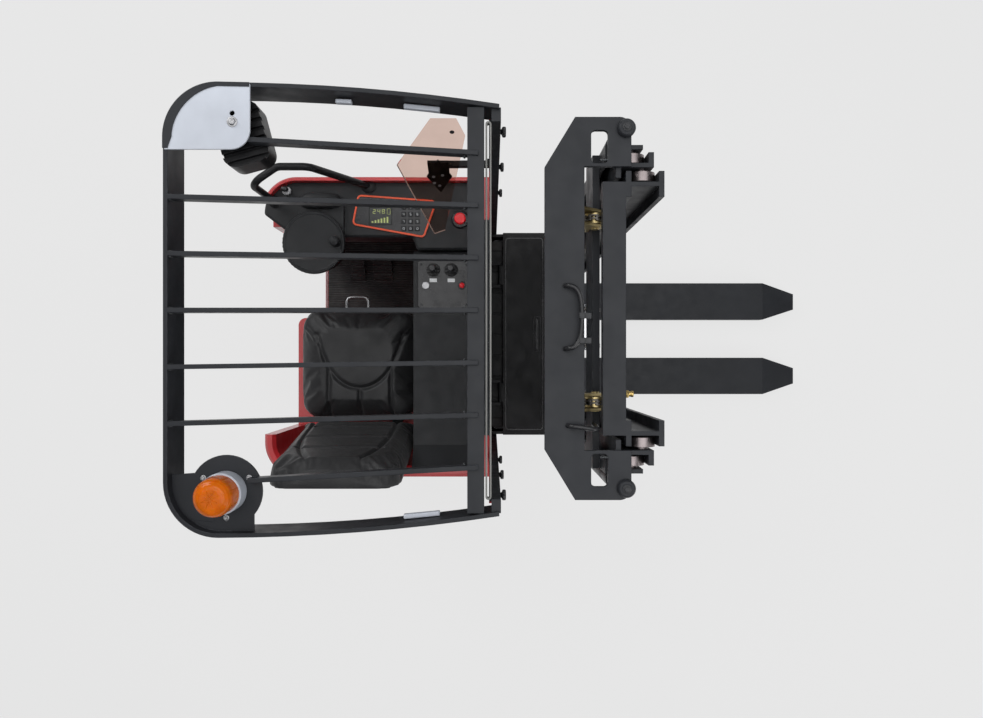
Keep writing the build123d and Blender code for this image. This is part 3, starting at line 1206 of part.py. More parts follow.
with BuildPart() as inner_rollers:
    rollers(MIDDLE_X + RAIL_DEPTH / 2, INNER_WEB_Y + RAIL_WEB / 2, 1, [STAGE_FOOT_Z + ROLLER_END])

# Side lift cylinders: barrels on the outer stage, rods under the yoke's ears
with BuildPart() as lift_barrels:
    for side in SIDES:
        barrel_y = side * CYLINDER_Y
        barrel_mid = (LEG_TOP_Z + CYLINDER_TOP_Z) / 2
        bore_foot_z = ROD_FOOT_Z - CYLINDER_FLOOR
        turned((CYLINDER_X, barrel_y, barrel_mid), "Z", CYLINDER_TOP_Z - LEG_TOP_Z, CYLINDER_R)
        turned(
            (CYLINDER_X, barrel_y, (bore_foot_z + CYLINDER_TOP_Z) / 2),
            "Z",
            CYLINDER_TOP_Z - bore_foot_z,
            ROD_R + ROD_CLEARANCE,
            Mode.SUBTRACT,
        )

with BuildPart() as lift_rods:
    for side in SIDES:
        rod_y = side * CYLINDER_Y
        turned((CYLINDER_X, rod_y, (ROD_FOOT_Z + MIDDLE_TOP_Z) / 2), "Z", MIDDLE_TOP_Z - ROD_FOOT_Z, ROD_R)
        nut_z = MIDDLE_TOP_Z + YOKE_PLATE
        turned((CYLINDER_X, rod_y, nut_z + ROD_NUT_HEIGHT / 2), "Z", ROD_NUT_HEIGHT, ROD_NUT_R)

# Free-lift cylinder in the inner stage with a sheave head on its rod
with BuildPart() as free_barrel:
    free_foot_z = STAGE_FOOT_Z + FREE_FOOT_PLATE
    free_length = FREE_CYLINDER_TOP_Z - free_foot_z
    turned((FREE_CYLINDER_X, 0, free_foot_z + free_length / 2), "Z", free_length, FREE_CYLINDER_R)
    turned(
        (FREE_CYLINDER_X, 0, free_foot_z + FREE_CYLINDER_FLOOR + free_length / 2),
        "Z",
        free_length,
        FREE_ROD_R + ROD_CLEARANCE,
        Mode.SUBTRACT,
    )

with BuildPart() as sheave_head:
    free_rod_foot = free_foot_z + 2 * FREE_CYLINDER_FLOOR
    turned((FREE_CYLINDER_X, 0, (free_rod_foot + SHEAVE_Z) / 2), "Z", SHEAVE_Z - free_rod_foot, FREE_ROD_R)
    turned((FREE_CYLINDER_X, 0, SHEAVE_Z), "Y", 2 * SHEAVE_Y + SHEAVE_WIDTH, SHEAVE_AXLE_R)
    block(
        (FREE_CYLINDER_X - HEAD_BLOCK_DEPTH / 2, FREE_CYLINDER_X + HEAD_BLOCK_DEPTH / 2),
        (-SHEAVE_Y + SHEAVE_WIDTH, SHEAVE_Y - SHEAVE_WIDTH),
        HEAD_BLOCK_Z,
    )
    head_cheek_y = SHEAVE_Y + SHEAVE_WIDTH / 2 + SHEAVE_CHEEK / 2
    for side in SIDES:
        turned((FREE_CYLINDER_X, side * SHEAVE_Y, SHEAVE_Z), "Y", SHEAVE_WIDTH, SHEAVE_R)
        cheek_at = (FREE_CYLINDER_X, side * head_cheek_y, SHEAVE_Z)
        turned(cheek_at, "Y", SHEAVE_CHEEK, SHEAVE_R + SHEAVE_CHEEK_RIM)


def chain(sheave, sheave_r, rear_foot_z, front_foot_z):
    """A chain over a sheave: a half turn with a straight run down each side."""
    centre_x, side_y, top_z = sheave
    radius = sheave_r + CHAIN_SEAT
    plane = Plane((centre_x, side_y + CHAIN_WIDTH / 2, top_z), x_dir=(1, 0, 0), z_dir=(0, -1, 0))
    with BuildSketch(plane) as loop:
        outer_r = radius + CHAIN_THICKNESS
        with BuildLine():
            Line((-outer_r, rear_foot_z - top_z), (-outer_r, 0))
            ThreePointArc((-outer_r, 0), (0, outer_r), (outer_r, 0))
            Line((outer_r, 0), (outer_r, front_foot_z - top_z))
            Line((outer_r, front_foot_z - top_z), (radius, front_foot_z - top_z))
            Line((radius, front_foot_z - top_z), (radius, 0))
            ThreePointArc((radius, 0), (0, radius), (-radius, 0))
            Line((-radius, 0), (-radius, rear_foot_z - top_z))
            Line((-radius, rear_foot_z - top_z), (-outer_r, rear_foot_z - top_z))
        make_face()
    extrude(loop.sketch, amount=CHAIN_WIDTH)


with BuildPart() as free_chains:
    for side in SIDES:
        free_sheave = (FREE_CYLINDER_X, side * SHEAVE_Y, SHEAVE_Z)
        chain(free_sheave, SHEAVE_R, FREE_CHAIN_FOOT_Z, CARRIAGE_CHAIN_FOOT_Z)

# Lift chains of the inner stage: sheaves under the yoke, chains to the outer stage and the inner foot
cheek_offset = SHEAVE_WIDTH / 2 + LIFT_CHEEK_GAP + LIFT_CHEEK / 2
with BuildPart() as lift_sheaves:
    for side in SIDES:
        lift_sheave = (LIFT_SHEAVE_X, side * LIFT_SHEAVE_Y, LIFT_SHEAVE_Z)
        turned(lift_sheave, "Y", SHEAVE_WIDTH, LIFT_SHEAVE_R)
        for cheek in SIDES:
            cheek_y = side * LIFT_SHEAVE_Y + cheek * cheek_offset
            with BuildSketch(Plane.XZ.offset(-cheek_y)):
                with BuildLine():
                    Polyline(
                        (YOKE_REAR_X + YOKE_BAR_WIDTH, MIDDLE_TOP_Z),
                        (bracket_x, MIDDLE_TOP_Z),
                        (LIFT_SHEAVE_X + LIFT_CHEEK_REACH, LIFT_SHEAVE_Z + LIFT_CHEEK_REACH),
                        (LIFT_SHEAVE_X + LIFT_CHEEK_REACH, LIFT_SHEAVE_Z - LIFT_CHEEK_REACH),
                        (YOKE_REAR_X + YOKE_BAR_WIDTH, LIFT_SHEAVE_Z - LIFT_CHEEK_REACH),
                        close=True,
                    )
                make_face()
            extrude(amount=LIFT_CHEEK / 2, both=True)
        turned(lift_sheave, "Y", 2 * cheek_offset + 2 * LIFT_CHEEK, LIFT_AXLE_R)

with BuildPart() as lift_chains:
    for side in SIDES:
        lift_sheave = (LIFT_SHEAVE_X, side * LIFT_SHEAVE_Y, LIFT_SHEAVE_Z)
        chain(lift_sheave, LIFT_SHEAVE_R, LIFT_CHAIN_REAR_Z, LIFT_CHAIN_FRONT_Z)

with BuildPart() as lift_chain_anchors:
    for side in SIDES:
        anchor_y = side_span(side, LIFT_SHEAVE_Y - CHAIN_WIDTH / 2, LIFT_SHEAVE_Y + CHAIN_WIDTH / 2)
        rear_x = LIFT_SHEAVE_X - LIFT_SHEAVE_R - CHAIN_THICKNESS - LIFT_ANCHOR_LIP
        anchor_z = (LIFT_CHAIN_REAR_Z - CHAIN_LUG, LIFT_CHAIN_REAR_Z)
        block((rear_x, OUTER_X - CROSS_MEMBER), anchor_y, anchor_z)

# Carriage: side plates with rollers in the inner stage, cross bars and the load face
CARRIAGE_ROLLER_END = 54
CARRIAGE_ROLLERS_Z = (CARRIAGE_FOOT_Z + CARRIAGE_ROLLER_END, CARRIAGE_TOP_Z - CARRIAGE_ROLLER_END)
with BuildPart() as carriage:
    for side in SIDES:
        side_y = side_span(side, CARRIAGE_SIDE_Y - CARRIAGE_SIDE, CARRIAGE_SIDE_Y)
        block((INNER_X + CARRIAGE_REAR_GAP, CARRIAGE_X), side_y, (CARRIAGE_FOOT_Z, CARRIAGE_TOP_Z))
    plate_foot_z = FORK_TOP_Z - FORK_PLATE
    plate_half = CARRIAGE_SIDE_Y + CARRIAGE_OVERHANG
    block((CARRIAGE_X, FACE_X), (-plate_half, plate_half), (plate_foot_z, CARRIAGE_PLATE_TOP_Z))
    window_half = FORK_OUTER_Y - FORK_WIDTH
    window_z = (FORK_TOP_Z + CARRIAGE_WINDOW_SILL, CARRIAGE_PLATE_TOP_Z - CARRIAGE_WINDOW_HEAD)
    block((CARRIAGE_X, FACE_X), (-window_half, window_half), window_z, Mode.SUBTRACT)
    front_run_x = FREE_CYLINDER_X + SHEAVE_R
    for side in SIDES:
        lug_y = side_span(side, SHEAVE_Y - CHAIN_WIDTH / 2, SHEAVE_Y + CHAIN_WIDTH / 2)
        lug_z = (CARRIAGE_CHAIN_FOOT_Z - CHAIN_LUG, CARRIAGE_CHAIN_FOOT_Z)
        block((front_run_x, CARRIAGE_X), lug_y, lug_z)

with BuildPart() as carriage_rollers:
    rollers(INNER_X + RAIL_DEPTH / 2, CARRIAGE_SIDE_Y, 1, CARRIAGE_ROLLERS_Z)

# Forks: inverted channels over the legs with tapered closed tips
with BuildPart() as forks:
    for side in SIDES:
        fork_y = side_span(side, FORK_OUTER_Y - FORK_WIDTH, FORK_OUTER_Y)
        taper_x = TIP_X - FORK_TAPER
        block((FACE_X, taper_x), fork_y, (FORK_SIDE_FOOT_Z, FORK_TOP_Z))
        room_y = (fork_y[0] + FORK_PLATE, fork_y[1] - FORK_PLATE)
        block((FACE_X, taper_x), room_y, (FORK_SIDE_FOOT_Z, FORK_TOP_Z - FORK_PLATE), Mode.SUBTRACT)
        with BuildSketch(Plane.YZ.offset(taper_x)):
            with Locations((side * FORK_Y, (FORK_SIDE_FOOT_Z + FORK_TOP_Z) / 2)):
                Rectangle(FORK_WIDTH, FORK_TOP_Z - FORK_SIDE_FOOT_Z)
        with BuildSketch(Plane.YZ.offset(TIP_X)):
            with Locations((side * FORK_Y, FORK_SIDE_FOOT_Z + FORK_TIP_HEIGHT / 2)):
                Rectangle(FORK_TIP_WIDTH, FORK_TIP_HEIGHT)
        loft()

# Support legs with the mast's foot beam, slotted at the ends for the load wheels
leg_end_x = TIP_X - FORK_TAPER - LEG_END_GAP
first_wheel_x = leg_end_x - LEG_NOSE - LOAD_WHEEL_R
load_wheel_x = [first_wheel_x, first_wheel_x - LOAD_WHEEL_SPACING]
wheel_room = LOAD_WHEEL_R + WHEEL_SLOT_GAP
slot_x = (load_wheel_x[1] - wheel_room, load_wheel_x[0] + wheel_room)
with BuildPart() as support_legs:
    for side in SIDES:
        leg_y = side_span(side, FORK_Y - LEG_WIDTH / 2, FORK_Y + LEG_WIDTH / 2)
        block((CAB_X, leg_end_x), leg_y, (LEG_FOOT_Z, LEG_TOP_Z))
        slot_half = LOAD_WHEEL_WIDTH / 2 + LOAD_WHEEL_SIDE_GAP
        slot_y = side_span(side, FORK_Y - slot_half, FORK_Y + slot_half)
        block(slot_x, slot_y, (LEG_FOOT_Z, LEG_TOP_Z), Mode.SUBTRACT)
    foot_half = CYLINDER_Y + CYLINDER_R
    block((OUTER_X - CROSS_MEMBER, OUTER_X + RAIL_DEPTH), (-foot_half, foot_half), (LEG_FOOT_Z, LEG_TOP_Z))
    for side in SIDES:
        for axle_x in load_wheel_x:
            turned((axle_x, side * FORK_Y, LOAD_WHEEL_R), "Y", LEG_WIDTH, LOAD_AXLE_R)


def load_wheel(axle_x, side):
    """One load roller with its axle bore."""
    centre = (axle_x, side * FORK_Y, LOAD_WHEEL_R)
    turned(centre, "Y", LOAD_WHEEL_WIDTH, LOAD_WHEEL_R)
    turned(centre, "Y", LOAD_WHEEL_WIDTH, LOAD_AXLE_R + RUNNING_FIT, Mode.SUBTRACT)


with BuildPart() as load_wheel_right_tip:
    load_wheel(load_wheel_x[0], -1)
with BuildPart() as load_wheel_right_heel:
    load_wheel(load_wheel_x[1], -1)
with BuildPart() as load_wheel_left_tip:
    load_wheel(load_wheel_x[0], 1)
with BuildPart() as load_wheel_left_heel:
    load_wheel(load_wheel_x[1], 1)

# Drive unit: a steered turntable with its gear case, motor and drive wheel
gear_near = DRIVE_Y + DRIVE_WHEEL_WIDTH / 2 + DRIVE_GEAR_GAP
gear_top = FLOOR_Z - FLOOR_PLATE - DRIVE_RING_GAP
with BuildPart() as drive_unit:
    block(
        (DRIVE_X - DRIVE_GEAR_HALF, DRIVE_X + DRIVE_GEAR_HALF),
        (gear_near, gear_near + DRIVE_GEAR_WIDTH),
        (DRIVE_WHEEL_R - DRIVE_GEAR_HALF, gear_top - DRIVE_RING_HEIGHT),
    )
    fillet(drive_unit.edges().filter_by(Axis.Y), DRIVE_GEAR_ROUND)
    ring_middle = (DRIVE_X, DRIVE_Y, gear_top - DRIVE_RING_HEIGHT / 2)
    turned(ring_middle, "Z", DRIVE_RING_HEIGHT, DRIVE_RING_R)
    motor_height = DRIVE_MOTOR_TOP_Z - gear_top
    turned((DRIVE_X, DRIVE_Y, gear_top + motor_height / 2), "Z", motor_height, DRIVE_MOTOR_R)
    axle_length = DRIVE_WHEEL_WIDTH + DRIVE_GEAR_GAP
    turned((DRIVE_X, gear_near - axle_length / 2, DRIVE_WHEEL_R), "Y", axle_length, DRIVE_AXLE_R)

with BuildPart() as drive_wheel:
    drive_centre = (DRIVE_X, DRIVE_Y, DRIVE_WHEEL_R)
    turned(drive_centre, "Y", DRIVE_WHEEL_WIDTH, DRIVE_WHEEL_R)
    fillet(drive_wheel.edges().filter_by(GeomType.CIRCLE), DRIVE_WHEEL_EDGE_R)
    turned(drive_centre, "Y", DRIVE_WHEEL_WIDTH, DRIVE_AXLE_R + RUNNING_FIT, Mode.SUBTRACT)

# Castor: a swivelling plate with cheeks between twin wheels
castor_axle = (CASTOR_X - CASTOR_TRAIL, CASTOR_Y, CASTOR_WHEEL_R)
with BuildPart() as castor_fork:
    turned((CASTOR_X, CASTOR_Y, CASTOR_PLATE_Z + CASTOR_PLATE / 2), "Z", CASTOR_PLATE, CASTOR_HOUSING_R)
    pin_height = FLOOR_Z - FLOOR_PLATE - CASTOR_PIN_GAP - CASTOR_PLATE_Z
    turned((CASTOR_X, CASTOR_Y, CASTOR_PLATE_Z + pin_height / 2), "Z", pin_height, CASTOR_PIN_R)
    cheek_half = CASTOR_HOUSING_R * CASTOR_CHEEK_SHARE
    with BuildSketch(Plane.XZ.offset(-CASTOR_Y)):
        with BuildLine():
            Polyline(
                (CASTOR_X - cheek_half, CASTOR_PLATE_Z),
                (CASTOR_X + cheek_half, CASTOR_PLATE_Z),
                (castor_axle[0] + CASTOR_CHEEK_FOOT, CASTOR_WHEEL_R - CASTOR_CHEEK_FOOT),
                (castor_axle[0] - CASTOR_CHEEK_FOOT, CASTOR_WHEEL_R - CASTOR_CHEEK_FOOT),
                close=True,
            )
        make_face()
    extrude(amount=CASTOR_SPREAD / 2 - CASTOR_CHEEK_GAP, both=True)
    turned(castor_axle, "Y", CASTOR_SPREAD + 2 * CASTOR_WHEEL_WIDTH, CASTOR_AXLE_R)

with BuildPart() as castor_wheels:
    for side in SIDES:
        wheel_y = CASTOR_Y + side * (CASTOR_SPREAD + CASTOR_WHEEL_WIDTH) / 2
        wheel_at = (castor_axle[0], wheel_y, CASTOR_WHEEL_R)
        turned(wheel_at, "Y", CASTOR_WHEEL_WIDTH, CASTOR_WHEEL_R)
        turned(wheel_at, "Y", CASTOR_WHEEL_WIDTH, CASTOR_AXLE_R + RUNNING_FIT, Mode.SUBTRACT)

PIECES = {
    "chassis_base": chassis_base,
    "cowl_panel": cowl_panel,
    "hood_panel": hood_panel,
    "bulkhead_panel": bulkhead_panel,
    "seat_box": seat_box,
    "floor_mat": floor_mat,
    "pedals": pedals,
    "console": console,
    "control_levers": control_levers,
    "console_buttons": console_buttons,
    "dash": dash,
    "steering_wheel": steering_wheel,
    "display_rim": display_rim,
    "display_panel": display_panel,
    "stop_button": stop_button,
    "grab_handle": grab_handle,
    "seat_base": seat_base,
    "seat_cushion": seat_cushion,
    "seat_back": seat_back,
    "guard_frame": guard_frame,
    "lamp_plate": lamp_plate,
    "front_screen": front_screen,
    "screen_knobs": screen_knobs,
    "work_lamp": work_lamp,
    "beacon_base": beacon_base,
    "beacon_dome": beacon_dome,
    "tinted_plate": tinted_plate,
    "plate_arm": plate_arm,
    "battery_tray": battery_tray,
    "battery": battery,
    "battery_lid": battery_lid,
    "lid_hinges": lid_hinges,
    "mast_outer": mast_outer,
    "outer_rollers": outer_rollers,
    "mast_middle": mast_middle,
    "middle_rollers": middle_rollers,
    "mast_inner": mast_inner,
    "inner_rollers": inner_rollers,
    "lift_barrels": lift_barrels,
    "lift_rods": lift_rods,
    "free_barrel": free_barrel,
    "sheave_head": sheave_head,
    "free_chains": free_chains,
    "lift_sheaves": lift_sheaves,
    "lift_chains": lift_chains,
    "lift_chain_anchors": lift_chain_anchors,
    "carriage": carriage,
    "carriage_rollers": carriage_rollers,
    "forks": forks,
    "support_legs": support_legs,
    "load_wheel_right_tip": load_wheel_right_tip,
    "load_wheel_right_heel": load_wheel_right_heel,
    "load_wheel_left_tip": load_wheel_left_tip,
    "load_wheel_left_heel": load_wheel_left_heel,
    "drive_unit": drive_unit,
    "drive_wheel": drive_wheel,
    "castor_fork": castor_fork,
    "castor_wheels": castor_wheels,
}
for name, piece in PIECES.items():
    piece.part.label = name
    export_step(piece.part, f"parts/{name}.step")
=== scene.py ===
"""Looks of the sit-on pallet stacker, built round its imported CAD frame.

Metres. +X runs from the cab to the fork tips, +Y the way the operator faces, +Z up.
"""

import json
import math

import bmesh
import bpy
from mathutils import Euler, Matrix, Vector


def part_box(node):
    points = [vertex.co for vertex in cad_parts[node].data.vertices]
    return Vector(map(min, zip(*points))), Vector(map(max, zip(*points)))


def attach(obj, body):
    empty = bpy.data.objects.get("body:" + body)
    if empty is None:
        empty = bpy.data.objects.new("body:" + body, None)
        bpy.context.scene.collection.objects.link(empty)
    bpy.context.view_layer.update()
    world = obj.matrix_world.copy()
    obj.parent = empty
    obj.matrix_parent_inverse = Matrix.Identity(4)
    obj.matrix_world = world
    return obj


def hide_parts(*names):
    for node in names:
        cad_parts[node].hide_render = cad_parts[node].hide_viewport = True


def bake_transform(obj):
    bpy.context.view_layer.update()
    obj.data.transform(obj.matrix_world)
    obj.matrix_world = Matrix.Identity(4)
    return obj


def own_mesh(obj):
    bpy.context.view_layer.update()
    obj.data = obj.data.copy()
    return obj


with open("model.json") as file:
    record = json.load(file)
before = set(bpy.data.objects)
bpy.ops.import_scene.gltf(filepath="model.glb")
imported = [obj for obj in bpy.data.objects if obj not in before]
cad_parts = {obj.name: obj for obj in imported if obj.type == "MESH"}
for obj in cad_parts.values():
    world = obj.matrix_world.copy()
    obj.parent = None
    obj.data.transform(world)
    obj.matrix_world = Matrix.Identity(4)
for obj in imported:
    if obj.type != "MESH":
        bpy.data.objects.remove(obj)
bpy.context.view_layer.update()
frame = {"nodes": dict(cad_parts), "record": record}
nodes = frame["nodes"]
slot_of = {part["node"]: part["material_slot"] for part in frame["record"]["subparts"]}

# Places repeated from the part's source
REAR_X = -1.182
CAB_X = -0.382
CAB_HALF = 0.525
FLOOR_Z = 0.33
DASH_Z = 1.3
CONSOLE_Z = 1.29
GUARD_Z = 2.2
GUARD_REAR_X = REAR_X + 0.043
GUARD_BAR_PITCH = 0.13125
GUARD_BAR_TAPER = 0.922
CROSS_BAR_X = -0.399
STEER = Vector((-0.997, 0.293, 1.352))
BEACON = Vector((-1.002, -0.422, 2.216))
YOKE_Z = 2.25
SIDES = (-1, 1)
UP = (0, 0, 1)
SMOOTH_ANGLE = math.radians(42)


# Materials
def new_material(name):
    """An empty node material with its tree and its shader."""
    material = bpy.data.materials.new(name)
    material.use_nodes = True
    tree = material.node_tree
    return material, tree, tree.nodes["Principled BSDF"]


def pattern(tree, kind, scale, stretch=None):
    """A pattern node in the object's own metres, stretched along an axis if asked."""
    node = tree.nodes.new(kind)
    node.inputs["Scale"].default_value = scale
    coords = tree.nodes.new("ShaderNodeTexCoord").outputs["Object"]
    if stretch:
        mapping = tree.nodes.new("ShaderNodeMapping")
        mapping.inputs["Scale"].default_value = stretch
        tree.links.new(coords, mapping.inputs["Vector"])
        coords = mapping.outputs["Vector"]
    tree.links.new(coords, node.inputs["Vector"])
    return node


def noise(tree, scale, detail=4.0, stretch=None):
    """The value of a noise pattern."""
    node = pattern(tree, "ShaderNodeTexNoise", scale, stretch)
    node.inputs["Detail"].default_value = detail
    return node.outputs["Fac"]


def spread(tree, value, low, high, start=0.3, end=0.7):
    """A pattern's value laid out between two limits."""
    node = tree.nodes.new("ShaderNodeMapRange")
    node.inputs["From Min"].default_value = start
    node.inputs["From Max"].default_value = end
    node.inputs["To Min"].default_value = low
    node.inputs["To Max"].default_value = high
    tree.links.new(value, node.inputs["Value"])
    return node.outputs["Result"]


def mixed(tree, factor, first, second):
    """A colour between two, by a pattern."""
    node = tree.nodes.new("ShaderNodeMix")
    node.data_type = "RGBA"
    tree.links.new(factor, node.inputs["Factor"])
    for socket, colour in ((node.inputs["A"], first), (node.inputs["B"], second)):
        if isinstance(colour, bpy.types.NodeSocket):
            tree.links.new(colour, socket)
        else:
            socket.default_value = (*colour, 1.0)
    return node.outputs["Result"]


def edge_mask(tree, radius):
    """White along the sharp edges of a solid, black on its flats, with the rounded normal beside it."""
    rounded = tree.nodes.new("ShaderNodeBevel")
    rounded.samples = 4
    rounded.inputs["Radius"].default_value = radius
    surface = tree.nodes.new("ShaderNodeNewGeometry")
    alike = tree.nodes.new("ShaderNodeVectorMath")
    alike.operation = "DOT_PRODUCT"
    tree.links.new(rounded.outputs["Normal"], alike.inputs[0])
    tree.links.new(surface.outputs["Normal"], alike.inputs[1])
    return spread(tree, alike.outputs["Value"], 1.0, 0.0, 0.75, 0.98), rounded.outputs["Normal"]


def bump(tree, shader, height, strength, distance=0.001, normal=None):
    """Relief on the shader from a pattern."""
    node = tree.nodes.new("ShaderNodeBump")
    node.inputs["Strength"].default_value = strength
    node.inputs["Distance"].default_value = distance
    tree.links.new(height, node.inputs["Height"])
    if normal is not None:
        tree.links.new(normal, node.inputs["Normal"])
    tree.links.new(node.outputs["Normal"], shader.inputs["Normal"])


def times(colour, factor):
    """A colour made darker or paler."""
    return tuple(min(1.0, channel * factor) for channel in colour)


def coated(name, colour, rough, worn, coat=0.25, peel=0.12, gloss=0.4):
    """Sprayed paint on steel: blotches, an orange-peel skin, edges rubbed towards a second colour."""
    material, tree, shader = new_material(name)
    blotches = spread(tree, noise(tree, 7.0), 0.0, 1.0)
    tone = mixed(tree, blotches, times(colour, 0.88), times(colour, 1.1))
    edges, rounded = edge_mask(tree, 0.003)
    scuffs = spread(tree, noise(tree, 60.0, 6.0), 0.0, 0.75, 0.42, 0.68)
    wear_and_sheen = tree.nodes.new("ShaderNodeMath")
    wear_and_sheen.operation = "MULTIPLY"
    tree.links.new(edges, wear_and_sheen.inputs[0])
    tree.links.new(scuffs, wear_and_sheen.inputs[1])
    tree.links.new(mixed(tree, wear_and_sheen.outputs["Value"], tone, worn), shader.inputs["Base Color"])
    tree.links.new(spread(tree, noise(tree, 22.0), rough - 0.07, rough + 0.1), shader.inputs["Roughness"])
    shader.inputs["Specular IOR Level"].default_value = gloss
    shader.inputs["Coat Weight"].default_value = coat
    shader.inputs["Coat Roughness"].default_value = 0.2
    bump(tree, shader, noise(tree, 420.0, 2.0), peel, 0.0006, rounded)
    return material


def moulded(name, colour, rough, grain=0.3, grain_scale=900.0, gloss=0.4):
    """Moulded plastic or rubber: fine grain, faint blotches, every edge paler."""
    material, tree, shader = new_material(name)
    blotches = spread(tree, noise(tree, 9.0, 6.0), 0.0, 1.0)
    tone = mixed(tree, blotches, times(colour, 0.84), times(colour, 1.14))
    edges, rounded = edge_mask(tree, 0.004)
    tree.links.new(mixed(tree, edges, tone, times(colour, 1.7)), shader.inputs["Base Color"])
    tree.links.new(spread(tree, noise(tree, 30.0), rough - 0.08, rough + 0.1), shader.inputs["Roughness"])
    shader.inputs["Specular IOR Level"].default_value = gloss
    bump(tree, shader, noise(tree, grain_scale, 2.0), grain, 0.0008, rounded)
    return material


def bare_metal(name, colour, rough, stretch=(1.0, 1.0, 14.0), grime=0.55):
    """Bare or plated metal: fine drawn lines, oily darker patches."""
    material, tree, shader = new_material(name)
    shader.inputs["Metallic"].default_value = 1.0
    lines = noise(tree, 90.0, 5.0, stretch)
    patches = spread(tree, noise(tree, 14.0, 6.0), 0.0, grime, 0.45, 0.75)
    tone = mixed(tree, spread(tree, lines, 0.0, 1.0), times(colour, 0.82), times(colour, 1.12))
    tree.links.new(mixed(tree, patches, tone, times(colour, 0.35)), shader.inputs["Base Color"])
    tree.links.new(spread(tree, lines, rough - 0.06, rough + 0.12), shader.inputs["Roughness"])
    _, rounded = edge_mask(tree, 0.002)
    bump(tree, shader, lines, 0.08, 0.0005, rounded)
    return material


def leatherette(name, colour):
    """Black coated fabric: pebbled grain, and paler blotches at random that are painted sheen."""
    material, tree, shader = new_material(name)
    pebbles = pattern(tree, "ShaderNodeTexVoronoi", 520.0)
    pebbles.feature = "DISTANCE_TO_EDGE"
    wear_and_sheen = spread(tree, noise(tree, 11.0, 5.0), 0.0, 1.0)
    # paler blotches spread at random over the cover: painted sheen
    tree.links.new(mixed(tree, wear_and_sheen, times(colour, 0.8), times(colour, 1.35)), shader.inputs["Base Color"])
    tree.links.new(spread(tree, noise(tree, 17.0, 5.0), 0.36, 0.56), shader.inputs["Roughness"])
    shader.inputs["Specular IOR Level"].default_value = 0.32
    shader.inputs["Sheen Weight"].default_value = 0.05
    bump(tree, shader, pebbles.outputs["Distance"], 0.22, 0.0012)
    return material


def ribbed_rubber(name, colour):
    """Floor rubber with narrow ribs and trodden dust."""
    material, tree, shader = new_material(name)
    ribs = pattern(tree, "ShaderNodeTexWave", 28.0)
    ribs.bands_direction = "Y"
    dust = spread(tree, noise(tree, 8.0, 7.0), 0.0, 0.5, 0.45, 0.75)
    tree.links.new(mixed(tree, dust, colour, (0.09, 0.085, 0.08)), shader.inputs["Base Color"])
    tree.links.new(spread(tree, noise(tree, 40.0), 0.6, 0.85), shader.inputs["Roughness"])
    bump(tree, shader, ribs.outputs["Fac"], 0.7, 0.003)
    return material


def clear_sheet(name, colour, rough):
    """A see-through plastic sheet with faint smears."""
    material, tree, shader = new_material(name)
    smears = spread(tree, noise(tree, 18.0, 6.0), 0.0, 1.0)
    tree.links.new(mixed(tree, smears, colour, times(colour, 0.94)), shader.inputs["Base Color"])
    tree.links.new(spread(tree, noise(tree, 26.0, 6.0), rough, rough + 0.08), shader.inputs["Roughness"])
    shader.inputs["Transmission Weight"].default_value = 1.0
    shader.inputs["IOR"].default_value = 1.05
    return material


def lens(name, colour):
    """A coloured translucent lens with moulded ribs."""
    material, tree, shader = new_material(name)
    ribs = pattern(tree, "ShaderNodeTexWave", 55.0)
    ribs.bands_direction = "Z"
    tone = mixed(tree, spread(tree, noise(tree, 35.0), 0.0, 1.0), times(colour, 0.8), times(colour, 1.15))
    tree.links.new(tone, shader.inputs["Base Color"])
    tree.links.new(spread(tree, noise(tree, 60.0), 0.12, 0.26), shader.inputs["Roughness"])
    shader.inputs["Specular IOR Level"].default_value = 0.2
    shader.inputs["Subsurface Weight"].default_value = 0.4
    shader.inputs["Subsurface Radius"].default_value = (0.03, 0.012, 0.002)
    bump(tree, shader, ribs.outputs["Fac"], 0.25, 0.0015)
    return material


RED = (0.47, 0.018, 0.022)
SLATE = (0.021, 0.0225, 0.026)
materials = {
    "red_paint": coated("red_paint", RED, 0.34, times(RED, 1.5), coat=0.5),
    "slate_paint": coated("slate_paint", SLATE, 0.42, times(SLATE, 4.5), coat=0.0, gloss=0.2),
    "black_paint": coated("black_paint", (0.009, 0.009, 0.01), 0.42, (0.06, 0.06, 0.064), coat=0.0, gloss=0.2),
    "grey_paint": coated("grey_paint", (0.5, 0.53, 0.59), 0.38, (0.72, 0.75, 0.79)),
    "dark_plastic": moulded("dark_plastic", (0.0165, 0.017, 0.0185), 0.46, gloss=0.22),
    "gloss_black": moulded("gloss_black", (0.014, 0.014, 0.016), 0.24, 0.05),
    "orange_plastic": moulded("orange_plastic", (0.72, 0.085, 0.03), 0.34, 0.05),
    "stop_red": moulded("stop_red", (0.72, 0.012, 0.02), 0.26, 0.04),
    "silver": bare_metal("silver", (0.4, 0.4, 0.41), 0.38, grime=0.4),
    "leatherette": leatherette("leatherette", (0.017, 0.017, 0.018)),
    "mat_rubber": ribbed_rubber("mat_rubber", (0.016, 0.016, 0.017)),
    "clear_screen": clear_sheet("clear_screen", (0.93, 0.95, 0.96), 0.03),
    "tinted_sheet": clear_sheet("tinted_sheet", (0.77, 0.585, 0.51), 0.04),
    "amber_lens": lens("amber_lens", (0.57, 0.118, 0.002)),
    "battery_case": moulded("battery_case", (0.05, 0.052, 0.058), 0.55, 0.2),
    "roller_steel": bare_metal("roller_steel", (0.27, 0.235, 0.235), 0.3),
    "zinc_yellow": bare_metal("zinc_yellow", (0.5, 0.4, 0.2), 0.36),
    "rod_chrome": bare_metal("rod_chrome", (0.72, 0.72, 0.74), 0.14, grime=0.2),
    "chain_steel": bare_metal("chain_steel", (0.15, 0.14, 0.13), 0.42, grime=0.8),
    "wheel_tread": moulded("wheel_tread", (0.1, 0.085, 0.07), 0.58, 0.25, 300.0),
    "cast_drive": coated("cast_drive", (0.03, 0.031, 0.034), 0.55, (0.1, 0.1, 0.1), 0.0, 0.5),
}
